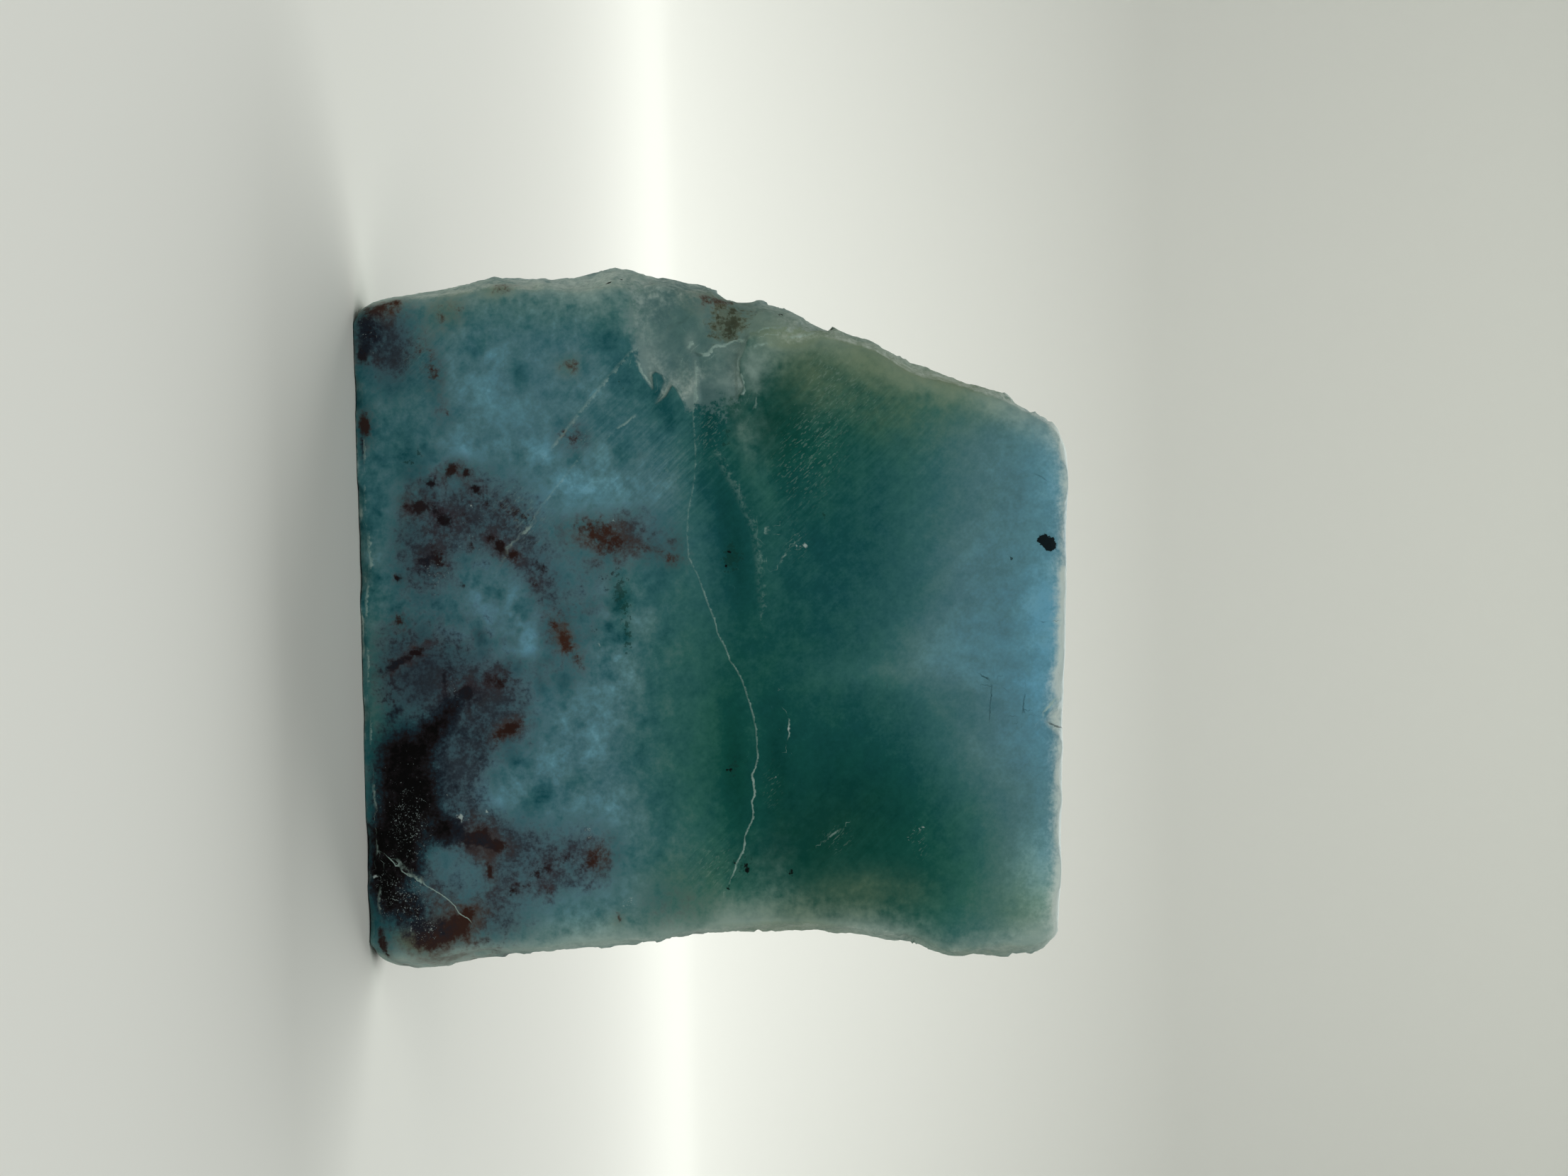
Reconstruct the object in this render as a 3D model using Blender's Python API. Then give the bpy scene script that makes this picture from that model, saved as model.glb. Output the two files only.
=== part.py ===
# Sawn slab of rough larimar (blue pectolite), standing upright on its sawn base.
# Metres, +Z up. The sawn front face looks towards -Y, and +X is to its right.
# The origin is under the middle of the slab, on the plane that it stands on.

import math

import bmesh
import bpy
from mathutils import Euler, Matrix, Vector, noise

MM = 0.001

# Driving sizes in millimetres
THICKNESS = 9.0  # between the two sawn faces
TOP_AT_MIDDLE = 37.5  # height of the sawn top at x = 0
TOP_SLOPE = -0.0435  # rise of the sawn top for each mm of x
OVERSHOOT = 0.8  # how far the loft passes the sawn top before it is cut

# The natural sides as (height, reach): how far each side's ridge stands out from x = 0
LEFT_REACH = (
    (0.0, 16.75), (0.3, 17.2), (1.0, 17.42), (3.1, 17.73), (5.2, 18.03), (7.0, 18.44), (7.8, 18.6),
    (8.5, 18.44), (9.2, 18.28), (10.0, 18.39), (12.1, 18.39), (13.2, 18.85), (13.9, 18.98),
    (14.7, 18.75), (15.7, 18.29), (17.1, 17.98), (18.1, 17.93), (19.2, 17.62), (19.9, 17.11),
    (21.0, 16.7), (21.7, 16.94), (22.9, 16.5), (24.4, 15.68), (26.2, 14.91), (28.1, 14.3),
    (28.9, 13.74), (31.4, 12.87), (32.2, 12.41), (34.3, 11.54), (35.6, 10.82), (36.0, 10.51),
    (37.1, 9.9), (37.6, 9.3), (37.9, 8.5), (38.6, 7.0),
)
RIGHT_REACH = (
    (0.0, 18.1), (0.3, 18.5), (1.1, 18.79), (2.2, 18.86), (3.5, 18.8), (4.7, 18.69), (5.3, 18.43),
    (6.7, 18.23), (8.8, 18.18), (9.6, 18.03), (12.7, 17.87), (14.9, 17.72), (16.4, 17.57),
    (17.2, 17.37), (18.9, 17.26), (22.0, 17.26), (23.5, 17.37), (25.7, 17.62), (27.1, 17.87),
    (29.3, 18.18), (30.1, 18.59), (30.7, 18.89), (33.2, 18.98), (35.1, 18.94), (35.8, 18.6),
    (36.4, 18.1), (36.8, 17.2), (38.6, 14.0),
)

# How far the rim of the front face and of the back face stay inside that ridge
LEFT_FRONT_INSET = (
    (0.0, 0.6), (4.0, 0.65), (8.0, 0.95), (10.0, 0.8), (13.9, 1.45), (16.0, 1.0), (19.5, 1.0),
    (21.7, 1.1), (24.0, 0.75), (28.0, 0.6), (30.0, 1.0), (32.0, 0.65), (34.0, 0.5), (38.0, 0.3),
)
RIGHT_FRONT_INSET = (
    (0.0, 0.7), (2.0, 0.9), (5.0, 0.9), (7.5, 0.6), (13.0, 0.5), (19.0, 0.5), (26.0, 0.7),
    (28.0, 0.75), (29.5, 0.45), (31.0, 0.5), (33.0, 0.9), (35.0, 0.7), (37.0, 0.4),
)
LEFT_BACK_INSET = (
    (0.0, 0.9), (6.0, 1.5), (12.0, 2.6), (18.0, 1.8), (24.0, 2.6), (31.0, 1.5), (38.0, 0.8),
)
RIGHT_BACK_INSET = (
    (0.0, 1.2), (5.0, 2.1), (12.0, 1.2), (20.0, 2.3), (28.0, 1.4), (33.0, 2.4), (38.0, 1.0),
)

# Where across the thickness each side reaches furthest out, 0 at the front and 1 at the back
LEFT_RIDGE = 0.39
RIGHT_RIDGE = 0.29
RIDGE_SWAY = 0.07
RIDGE_POWER = 1.8
ARRIS_ROUNDING = 0.14  # the corner between a sawn face and a natural side, worn round

# Relief of the natural sides: broad lumps, small knobs, and hollows where flakes broke off
LUMP_SIZE = 4.6
LUMP_DEPTH = 0.6
KNOB_SIZE = 1.5
KNOB_DEPTH = 0.22
HOLLOW_SIZE = 3.3
HOLLOW_DEPTH = 0.75
HOLLOW_STEEPNESS = 2.2
RIDGE_KEEP = 0.12  # share of the thickness beside the ridge over which the relief fades
MOST_UNDERCUT = 0.55  # the side leans out at least this much of the front inset by its ridge

# Scallops of the spall at the left rim: (x, height, half width, half height, depth)
SCALLOPS = (
    (-17.4, 19.2, 3.6, 3.6, 1.0),
    (-16.2, 16.6, 3.4, 2.2, 0.5),
    (-13.7, 17.1, 3.3, 2.1, 0.36),
    (-12.7, 20.0, 2.6, 1.4, 0.28),
    (-15.5, 22.9, 1.9, 2.9, 0.42),
)

# Flakes lost from the arrises: (x, y, height, half width, half depth, half height)
HALF = THICKNESS / 2
CHIPS = (
    (-17.9, -HALF + 0.5, 9.5, 0.62, 0.9, 0.75),
    (6.25, -HALF, 37.15, 0.65, 0.6, 1.15),
    (4.6, -HALF - 0.1, 37.3, 1.5, 0.45, 0.5),
    (-3.2, -HALF - 0.15, 37.8, 2.3, 0.5, 0.5),
    (-8.1, -HALF, 37.85, 0.8, 0.6, 0.5),
    (9.0, -HALF - 0.1, 37.1, 1.1, 0.5, 0.6),
    (12.2, -HALF - 0.1, 37.0, 1.2, 0.5, 0.5),
    (16.4, -HALF, 36.9, 1.2, 0.5, 0.7),
    (-12.1, -HALF - 0.15, -0.05, 0.9, 0.45, 0.45),
    (-6.6, -HALF - 0.15, 0.0, 0.7, 0.4, 0.35),
    (-4.3, -HALF - 0.15, 0.0, 1.2, 0.45, 0.55),
    (-2.4, -HALF - 0.15, 0.0, 1.0, 0.45, 0.65),
    (4.9, -HALF - 0.15, 0.0, 0.7, 0.4, 0.35),
    (11.9, -HALF - 0.15, 0.0, 1.3, 0.45, 0.55),
    (16.0, -HALF - 0.1, 0.0, 1.0, 0.45, 0.5),
    (17.95, -HALF + 0.8, 28.5, 0.5, 0.9, 1.0),
    (-9.4, HALF + 0.1, 37.9, 1.4, 0.6, 0.7),
    (2.5, HALF + 0.15, 37.45, 1.9, 0.55, 0.6),
    (13.2, HALF + 0.1, 36.9, 1.1, 0.5, 0.8),
    (-7.5, HALF + 0.15, 0.0, 1.6, 0.5, 0.6),
    (7.4, HALF + 0.15, 0.0, 1.1, 0.45, 0.5),
    (15.6, HALF + 0.1, 14.0, 0.9, 0.8, 2.1),
    (-15.3, HALF + 0.1, 25.0, 1.2, 0.9, 1.7),
)
CHIP_ROUGHNESS = 0.16
CHIP_TURN = 9.0  # degrees

# How finely the loft is stepped
WALL_STEPS = (0.0, 0.03, 0.1, 0.19, 0.29, 0.39, 0.49, 0.59, 0.69, 0.79, 0.89, 0.965, 1.0)
RIM_COLUMNS = (0.45, 0.9, 1.4, 1.9, 2.4, 3.0, 3.6, 4.3, 5.1, 6.0)
PLAIN_COLUMNS = 9
BACK_COLUMNS = 11
LEVEL_RUNS = ((0.0, 1.5, 0.3), (1.5, 13.0, 0.72), (13.0, 25.0, 0.5), (25.0, 34.6, 0.74))
TOP_LEVEL_STEP = 0.45

STONE_COLOUR = (0.075, 0.205, 0.215, 1.0)


def read_curve(table, height):
    """The value at this height on the smooth curve through a table's (height, value) points."""
    last = len(table) - 1
    index = 0
    while index < last - 1 and height > table[index + 1][0]:
        index += 1
    low, first = table[index]
    high, second = table[index + 1]
    span = high - low
    share = min(1.0, max(0.0, (height - low) / span))
    slope_in = curve_slope(table, index) * span
    slope_out = curve_slope(table, index + 1) * span
    rise = second - first
    bend = slope_in * (1 - share) - slope_out * share + rise * (2 * share - 1)
    return first + rise * share + share * (1 - share) * bend


def curve_slope(table, index):
    """The slope of a table's curve at one of its points, from the points on either side."""
    low, first = table[max(0, index - 1)]
    high, second = table[min(len(table) - 1, index + 1)]
    return (second - first) / (high - low)


def spall_depth(x, height):
    """How far the front face lies back at this place, where flakes have come off the rim."""
    depth = 0.0
    for middle_x, middle_z, half_x, half_z, deepest in SCALLOPS:
        across = ((x - middle_x) / half_x) ** 2 + ((height - middle_z) / half_z) ** 2
        depth = max(depth, deepest * (1 - across))
    return depth


def side_relief(side, depth_y, height):
    """Lumps, knobs and hollows of a natural side, as a distance inwards."""
    place = Vector((side * 31.0, depth_y, height))
    lump = LUMP_DEPTH * max(0.0, noise.noise(place / LUMP_SIZE) + 0.25)
    knob = KNOB_DEPTH * (noise.noise(place / KNOB_SIZE) + 0.35)
    slanted = Vector((side * 17.0, depth_y * 1.3 + height * 0.3, height * 0.8 - depth_y * 0.3))
    from_middle = noise.voronoi(slanted / HOLLOW_SIZE)[0][0]
    hollow = HOLLOW_DEPTH * max(0.0, 1 - HOLLOW_STEEPNESS * from_middle**2)
    return max(0.0, lump + knob) + hollow


def side_x(side, share, height):
    """How far out a natural side stands at this share of the thickness."""
    if side < 0:
        reach, front, back, ridge = LEFT_REACH, LEFT_FRONT_INSET, LEFT_BACK_INSET, LEFT_RIDGE
    else:
        reach, front, back, ridge = RIGHT_REACH, RIGHT_FRONT_INSET, RIGHT_BACK_INSET, RIGHT_RIDGE
    ridge += RIDGE_SWAY * noise.noise(Vector((side * 5.0, 0.0, height / 5.0)))
    if share < ridge:
        away = (ridge - share) / ridge
        inset = read_curve(front, height) * away**RIDGE_POWER
    else:
        away = (share - ridge) / (1 - ridge)
        inset = read_curve(back, height) * away**RIDGE_POWER
    beside = 1 - math.exp(-(((share - ridge) / RIDGE_KEEP) ** 2))
    inset += side_relief(side, share * THICKNESS, height) * beside
    if share < ridge:
        inset = min(inset, read_curve(front, height) * (1 - MOST_UNDERCUT * share / ridge))
    edge = min(share, 1 - share) * THICKNESS
    inset += ARRIS_ROUNDING * max(0.0, 1 - edge / (2 * ARRIS_ROUNDING)) ** 2
    return side * (read_curve(reach, height) - inset)


def section(height):
    """One level's outline as (x, y) points: left side, back, right side, then the front."""
    points = []
    for share in WALL_STEPS:
        points.append((side_x(-1, share, height), -HALF + share * THICKNESS))
    left, right = side_x(-1, 1.0, height), side_x(1, 1.0, height)
    for column in range(1, BACK_COLUMNS):
        points.append((left + (right - left) * column / BACK_COLUMNS, HALF))
    for share in reversed(WALL_STEPS):
        points.append((side_x(1, share, height), -HALF + share * THICKNESS))
    rim, right = side_x(-1, 0.0, height), side_x(1, 0.0, height)
    plain_from = rim + RIM_COLUMNS[-1]
    for column in range(PLAIN_COLUMNS - 1, 0, -1):
        points.append((plain_from + (right - plain_from) * column / PLAIN_COLUMNS, -HALF))
    for distance in reversed(RIM_COLUMNS):
        points.append((rim + distance, -HALF))
    return points


def level_heights():
    heights = []
    for start, end, step in LEVEL_RUNS:
        count = round((end - start) / step)
        heights += [start + (end - start) * index / count for index in range(count)]
    start = LEVEL_RUNS[-1][1]
    end = TOP_AT_MIDDLE + OVERSHOOT
    count = round((end - start) / TOP_LEVEL_STEP)
    return heights + [start + (end - start) * index / count for index in range(count + 1)]


def slab_point(x, y, height):
    """The loft's point, moved back where the spall reaches it."""
    depth = spall_depth(x, height)
    if depth > 0 and y < -HALF + depth:
        y = -HALF + depth
    return Vector((x, y, height)) * MM


def build_slab(collection, material):
    """The stone: sections lofted from the base up, then sawn off along the top."""
    shape = bmesh.new()
    rings = []
    for height in level_heights():
        rings.append([shape.verts.new(slab_point(x, y, height)) for x, y in section(height)])
    size = len(rings[0])
    for low, high in zip(rings, rings[1:]):
        for index in range(size):
            after = (index + 1) % size
            shape.faces.new((low[index], low[after], high[after], high[index]))
    shape.faces.new(rings[0])
    shape.faces.new(rings[-1])
    saw_at = Vector((0, 0, TOP_AT_MIDDLE * MM))
    saw_normal = Vector((-TOP_SLOPE, 0, 1)).normalized()
    everything = shape.verts[:] + shape.edges[:] + shape.faces[:]
    cut = bmesh.ops.bisect_plane(
        shape, geom=everything, plane_co=saw_at, plane_no=saw_normal, clear_outer=True
    )
    rim = [item for item in cut["geom_cut"] if isinstance(item, bmesh.types.BMEdge)]
    bmesh.ops.edgenet_fill(shape, edges=rim)
    bmesh.ops.recalc_face_normals(shape, faces=shape.faces[:])
    mesh = bpy.data.meshes.new("larimar_slab")
    shape.to_mesh(mesh)
    shape.free()
    mesh.materials.append(material)
    stone = bpy.data.objects.new("larimar_slab", mesh)
    collection.objects.link(stone)
    return stone


def build_chip(number, place, size, collection):
    """A rough flake that is cut out of the stone's arris."""
    shape = bmesh.new()
    bmesh.ops.create_icosphere(shape, subdivisions=2, radius=1.0)
    for vert in shape.verts:
        bulge = noise.noise(vert.co * 1.7 + Vector((number * 7.3, 0, 0)))
        vert.co *= 1 + CHIP_ROUGHNESS * bulge
    turn = math.radians(CHIP_TURN)
    spin = Euler((turn * math.sin(number * 2.1), turn * math.cos(number * 1.3), 0))
    stretch = Matrix.Diagonal(Vector(size) * MM)
    shape.transform((spin.to_matrix() @ stretch).to_4x4())
    mesh = bpy.data.meshes.new(f"chip_{number}")
    shape.to_mesh(mesh)
    shape.free()
    chip = bpy.data.objects.new(f"chip_{number}", mesh)
    chip.location = Vector(place) * MM
    chip.hide_render = True
    chip.display_type = "WIRE"
    collection.objects.link(chip)


def stone_material():
    material = bpy.data.materials.new("larimar")
    material.use_nodes = True
    shader = material.node_tree.nodes["Principled BSDF"]
    shader.inputs["Base Color"].default_value = STONE_COLOUR
    shader.inputs["Roughness"].default_value = 0.55
    shader.inputs["Metallic"].default_value = 0.0
    material.diffuse_color = STONE_COLOUR
    return material


def new_collection(name):
    collection = bpy.data.collections.new(name)
    bpy.context.scene.collection.children.link(collection)
    return collection


for existing in list(bpy.data.objects):
    bpy.data.objects.remove(existing)

stone_collection = new_collection("rough_larimar_slab")
chip_collection = new_collection("chip_cutters")
slab = build_slab(stone_collection, stone_material())
for chip_number, chip_values in enumerate(CHIPS):
    build_chip(chip_number, chip_values[:3], chip_values[3:], chip_collection)

chipping = slab.modifiers.new("chipped_arrises", "BOOLEAN")
chipping.operation = "DIFFERENCE"
chipping.solver = "EXACT"
chipping.operand_type = "COLLECTION"
chipping.collection = chip_collection
slab.data.shade_smooth()
slab.data.set_sharp_from_angle(angle=math.radians(38))
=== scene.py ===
# The looks of a sawn slab of rough larimar, standing on its sawn base on a pale table.
# Metres in Blender, +Z up. The sawn front face looks towards -Y. Tables are in millimetres.

import itertools
import math

import bmesh
import bpy
import numpy as np
from mathutils import Matrix, Vector


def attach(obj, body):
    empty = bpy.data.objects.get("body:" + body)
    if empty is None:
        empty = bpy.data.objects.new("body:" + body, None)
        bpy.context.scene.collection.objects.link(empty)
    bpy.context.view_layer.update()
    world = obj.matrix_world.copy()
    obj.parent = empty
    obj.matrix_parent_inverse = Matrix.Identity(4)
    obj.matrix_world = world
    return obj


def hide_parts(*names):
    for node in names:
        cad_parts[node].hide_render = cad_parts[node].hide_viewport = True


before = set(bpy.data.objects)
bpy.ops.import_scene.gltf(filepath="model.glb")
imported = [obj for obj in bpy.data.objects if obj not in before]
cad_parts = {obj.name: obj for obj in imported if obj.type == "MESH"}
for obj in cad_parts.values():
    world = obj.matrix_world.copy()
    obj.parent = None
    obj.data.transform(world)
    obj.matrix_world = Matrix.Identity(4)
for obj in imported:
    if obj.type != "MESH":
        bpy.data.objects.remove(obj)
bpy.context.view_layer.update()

MM = 0.001

# The camera: a close-up, level with the middle of the slab and square to its front face.
# The photo lies on its side, so the camera is rolled by a quarter turn and by the photo's own lean.
# The slab's +Z runs to the right of the picture.
CAMERA_PLACE = (-1.184, -154.7, 22.517)
CAMERA_LENS = 65.0
CAMERA_LEAN = math.radians(1.5)

camera = bpy.data.objects.new("camera", bpy.data.cameras.new("camera"))
bpy.context.scene.collection.objects.link(camera)
camera.data.sensor_width = 36.0
camera.data.lens = CAMERA_LENS
camera.data.clip_start = 5 * MM
camera.data.clip_end = 10.0
picture_right = (math.sin(CAMERA_LEAN), 0.0, math.cos(CAMERA_LEAN))
picture_up = (-math.cos(CAMERA_LEAN), 0.0, math.sin(CAMERA_LEAN))
towards_camera = (0.0, -1.0, 0.0)
turn = Matrix((picture_right, picture_up, towards_camera)).transposed()
camera.matrix_world = Matrix.Translation(Vector(CAMERA_PLACE) * MM) @ turn.to_4x4()
bpy.context.scene.camera = camera

# The stone's surface: a slab of blue pectolite, sawn on its front, back, top and base.
# The two long sides are the lump's own broken rind, and the arrises are nibbled by the saw.
# The CAD solid is remeshed finely, its arrises are worn, and the broken places get flakes and hackles.
HALF_THICKNESS = 4.5
TOP_AT_MIDDLE = 37.5
TOP_SLOPE = -0.0435
VOXEL = 0.236

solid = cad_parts["larimar_slab"]
welded = bmesh.new()
welded.from_mesh(solid.data)
bmesh.ops.remove_doubles(welded, verts=welded.verts[:], dist=0.002 * MM)
coarse_mesh = bpy.data.meshes.new("rough_larimar_coarse")
welded.to_mesh(coarse_mesh)
welded.free()
coarse = bpy.data.objects.new("rough_larimar_coarse", coarse_mesh)
bpy.context.scene.collection.objects.link(coarse)
remesh = coarse.modifiers.new("fine_surface", "REMESH")
remesh.mode = "VOXEL"
remesh.voxel_size = VOXEL * MM
depsgraph = bpy.context.evaluated_depsgraph_get()
stone_mesh = bpy.data.meshes.new_from_object(coarse.evaluated_get(depsgraph))
stone_mesh.name = "rough_larimar"
bpy.data.objects.remove(coarse)
stone = bpy.data.objects.new("rough_larimar", stone_mesh)
bpy.context.scene.collection.objects.link(stone)

count = len(stone_mesh.vertices)
flat = np.empty(count * 3)
stone_mesh.vertices.foreach_get("co", flat)
place = flat.reshape(count, 3) / MM
links = np.empty(len(stone_mesh.edges) * 2, dtype=np.int64)
stone_mesh.edges.foreach_get("vertices", links)
one_end, other_end = links.reshape(-1, 2).T
neighbours = np.bincount(links, minlength=count)


def soak(values, rounds):
    """Spreads values along the surface: each round every point takes its neighbours' mean."""
    for _ in range(rounds):
        total = np.bincount(one_end, values[other_end], count)
        total += np.bincount(other_end, values[one_end], count)
        values = 0.5 * values + 0.5 * total / neighbours
    return values


def lattice(corners, seed):
    """A fixed number from 0 to 1 for each whole-numbered corner of space."""
    mixed = corners[:, 0] * 374761393 + corners[:, 1] * 668265263 + corners[:, 2] * 1440662683
    mixed = mixed + seed * 1013904223
    mixed = (mixed ^ (mixed >> 13)) * 1274126177
    mixed = (mixed ^ (mixed >> 16)) & 0xFFFFFF
    return mixed / 0xFFFFFF


def mottle(points, size, seed):
    """Smooth noise from -1 to 1 with lumps about this size across."""
    corner = np.floor(points / size).astype(np.int64)
    part = points / size - corner
    part = part * part * (3 - 2 * part)
    total = np.zeros(len(points))
    for step in itertools.product((0, 1), repeat=3):
        weight = np.prod(np.where(step, part, 1 - part), axis=1)
        total += weight * lattice(corner + np.array(step), seed)
    return 2 * total - 1


def flakes(points, size, seed):
    """Tilted facets from -1 to 1, one for each irregular cell of about this size."""
    home = np.floor(points / size).astype(np.int64)
    nearest = np.full(len(points), np.inf)
    height = np.zeros(len(points))
    for step in itertools.product((-1, 0, 1), repeat=3):
        cell = home + np.array(step)
        spread = [lattice(cell, seed + axis) for axis in range(3)]
        tilt = [2 * lattice(cell, seed + 3 + axis) - 1 for axis in range(3)]
        away = points / size - cell - np.stack(spread, axis=1)
        distance = np.einsum("ij,ij->i", away, away)
        closer = distance < nearest
        nearest = np.where(closer, distance, nearest)
        height = np.where(closer, np.einsum("ij,ij->i", away, np.stack(tilt, axis=1)), height)
    return np.clip(height, -1, 1)


def ramp(values, low, high):
    """Rises smoothly from 0 at low to 1 at high."""
    share = np.clip((values - low) / (high - low), 0, 1)
    return share * share * (3 - 2 * share)


def top_height(across):
    return TOP_AT_MIDDLE + TOP_SLOPE * across


# Broken places are those that lie on none of the four sawn planes.
inside_front = place[:, 1] + HALF_THICKNESS
inside_back = HALF_THICKNESS - place[:, 1]
below_top = top_height(place[:, 0]) - place[:, 2]
nearest_plane = np.minimum.reduce([inside_front, inside_back, below_top, place[:, 2]])
broken = ramp(nearest_plane, 0.04, 0.16)

# Wear: the sawn arrises are nibbled in places, and those beside the broken rind are worn round.
NIBBLE_ROUNDS = 10
ROUNDING_ROUNDS = 42
nibbled = np.stack([soak(place[:, axis], NIBBLE_ROUNDS) for axis in range(3)], axis=1)
rounded = np.stack([soak(place[:, axis], ROUNDING_ROUNDS) for axis in range(3)], axis=1)
beside_rind = soak(broken, 16)
beside_rind = np.clip(4 * beside_rind * (1 - beside_rind), 0, 1)
bite = np.clip(0.3 + 0.6 * mottle(place, 1.7, 11) + 0.6 * mottle(place, 0.7, 12), 0.08, 1.0)
bite *= 1 - 0.5 * np.exp(-(below_top**2))
place = place + (nibbled - place) * (bite * (1 - broken))[:, None]
# How much more or less the corners are worn, as (x, height, reach, amount)
CORNER_WEAR = ((18.2, 36.4, 1.6, -0.7), (18.8, 0.3, 1.0, 1.0))
rounding = beside_rind * (0.75 + 0.25 * mottle(place, 2.6, 13))
rounding = np.maximum(rounding, 0.8 * broken)
for corner_x, corner_z, reach, amount in CORNER_WEAR:
    away = np.hypot(place[:, 0] - corner_x, place[:, 2] - corner_z) / reach
    rounding *= 1 + amount * np.exp(-(away**2))
place = place + (rounded - place) * rounding[:, None]

# Spalled arrises, as (which plane meets the front or back, y side, mean width, how uneven)
SPALLED_ARRISES = (("top", -1, 0.03, 0.45), ("base", -1, 0.1, 0.4), ("top", 1, 0.2, 0.6), ("base", 1, 0.2, 0.5))
spalled = np.zeros(count)
for index, (plane, side, mean_width, uneven) in enumerate(SPALLED_ARRISES):
    from_face = HALF_THICKNESS - side * place[:, 1]
    from_plane = top_height(place[:, 0]) - place[:, 2] if plane == "top" else place[:, 2]
    along = np.stack([place[:, 0], np.full(count, 3.7 * index), np.zeros(count)], axis=1)
    width = 0.7 * mottle(along, 1.9, 14 + index) + 0.5 * mottle(along, 0.75, 18 + index)
    width = np.maximum(0.06, mean_width + uneven * width)
    lack = np.maximum(0, width - from_face - from_plane) * (1 - beside_rind)
    place[:, 1] -= side * lack / 2
    place[:, 2] -= lack / 2 if plane == "top" else -lack / 2
    spalled = np.maximum(spalled, ramp(lack, 0.0, 0.25))

# Flakes and hackles of the broken places, cut inwards along the normal
FLAKE_SIZES = ((2.6, 0.19, 21), (1.15, 0.12, 31), (0.55, 0.06, 41))
stone_mesh.vertices.foreach_set("co", (place * MM).ravel())
stone_mesh.update()
normal = np.empty(count * 3)
stone_mesh.vertices.foreach_get("normal", normal)
normal = normal.reshape(count, 3)
rough = soak(broken, 3) * (1 - 0.75 * beside_rind)
cut = np.zeros(count)
for size, depth, seed in FLAKE_SIZES:
    bent = place + 0.3 * size * np.stack([mottle(place, size, seed + 7 + axis) for axis in range(3)], 1)
    cut += depth * (flakes(bent, size, seed) - 0.05)
at_spall = broken * ramp(-normal[:, 1], 0.35, 0.8) * ramp(place[:, 0], -18.5, -17.0)
cut *= 1 - 0.62 * at_spall
cut *= 1 - 0.6 * ramp(-place[:, 2], -7.0, -2.0)
place = place + normal * (cut * rough)[:, None]

# The rind swells a little at the right, and at the left near the foot.
swell = 0.12 * ramp(place[:, 0], 8.0, 14.0)
swell += 0.1 * ramp(-place[:, 0], 14.0, 16.0) * ramp(-place[:, 2], -12.0, -8.0)
place = place + normal * (swell * soak(broken, 3))[:, None]

# How near each point is to the broken sides, spread along the surface
RIM_EDGE_ROUNDS = 4
RIM_NEAR_ROUNDS = 12
RIM_WIDE_ROUNDS = 220
spread = {
    "broken": broken, "spalled": spalled, "rim_edge": soak(broken, RIM_EDGE_ROUNDS),
    "rim_near": soak(broken, RIM_NEAR_ROUNDS), "rim_wide": soak(broken, RIM_WIDE_ROUNDS),
}


def keep(name, values):
    """Stores a number for each point of the mesh under this name."""
    layer = stone_mesh.attributes.get(name) or stone_mesh.attributes.new(name, "FLOAT", "POINT")
    layer.data.foreach_set("value", values.astype(np.float32))


# The mesh is made finer round the spall and the top chip, whose shapes are small and crisp.
FINE_PLACES = ((-17.6, -10.2, 14.4, 21.6), (4.6, 7.4, 35.4, 38.0))
FINE_ROUNDS = 2
for name, values in spread.items():
    keep(name, values)
stone_mesh.vertices.foreach_set("co", (place * MM).ravel())
fine = bmesh.new()
fine.from_mesh(stone_mesh)
for _ in range(FINE_ROUNDS):
    wanted = set()
    for vert in fine.verts:
        x, y, z = vert.co / MM
        if y < 0.9 - HALF_THICKNESS and any(a < x < b and c < z < d for a, b, c, d in FINE_PLACES):
            wanted.add(vert)
    chosen = [edge for edge in fine.edges if wanted.issuperset(edge.verts)]
    bmesh.ops.subdivide_edges(fine, edges=chosen, cuts=1, use_grid_fill=True)
fine.to_mesh(stone_mesh)
fine.free()
count = len(stone_mesh.vertices)
flat = np.empty(count * 3)
stone_mesh.vertices.foreach_get("co", flat)
place = flat.reshape(count, 3) / MM
for name in spread:
    spread[name] = np.empty(count)
    stone_mesh.attributes[name].data.foreach_get("value", spread[name])
broken = spread["broken"]
spalled = spread["spalled"]

# The front face's own scars. Here a point's place on the face is its x and height; further on,
# where the minerals are drawn, it drifts with depth.
across = place[:, 0]
up = place[:, 2]


def spots(table):
    """Soft spots added up: (x, height, half width, half height, turn in degrees, strength)."""
    total = np.zeros(count)
    for middle_x, middle_z, half_x, half_z, degrees, strength in table:
        lean = math.radians(degrees)
        right = across - middle_x
        above = up - middle_z
        along = (right * math.cos(lean) + above * math.sin(lean)) / half_x
        beside = (above * math.cos(lean) - right * math.sin(lean)) / half_z
        total += strength * np.exp(-(along**2) - beside**2)
    return total


def distance_to_line(path):
    """How far each point is from a line through (x, height) points, in mm."""
    nearest = np.full(count, np.inf)
    for (start_x, start_z), (end_x, end_z) in zip(path, path[1:]):
        run_x, run_z = end_x - start_x, end_z - start_z
        along = (across - start_x) * run_x + (up - start_z) * run_z
        along = np.clip(along / (run_x**2 + run_z**2), 0, 1)
        off_x = across - start_x - along * run_x
        off_z = up - start_z - along * run_z
        nearest = np.minimum(nearest, np.hypot(off_x, off_z))
    return nearest


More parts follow.
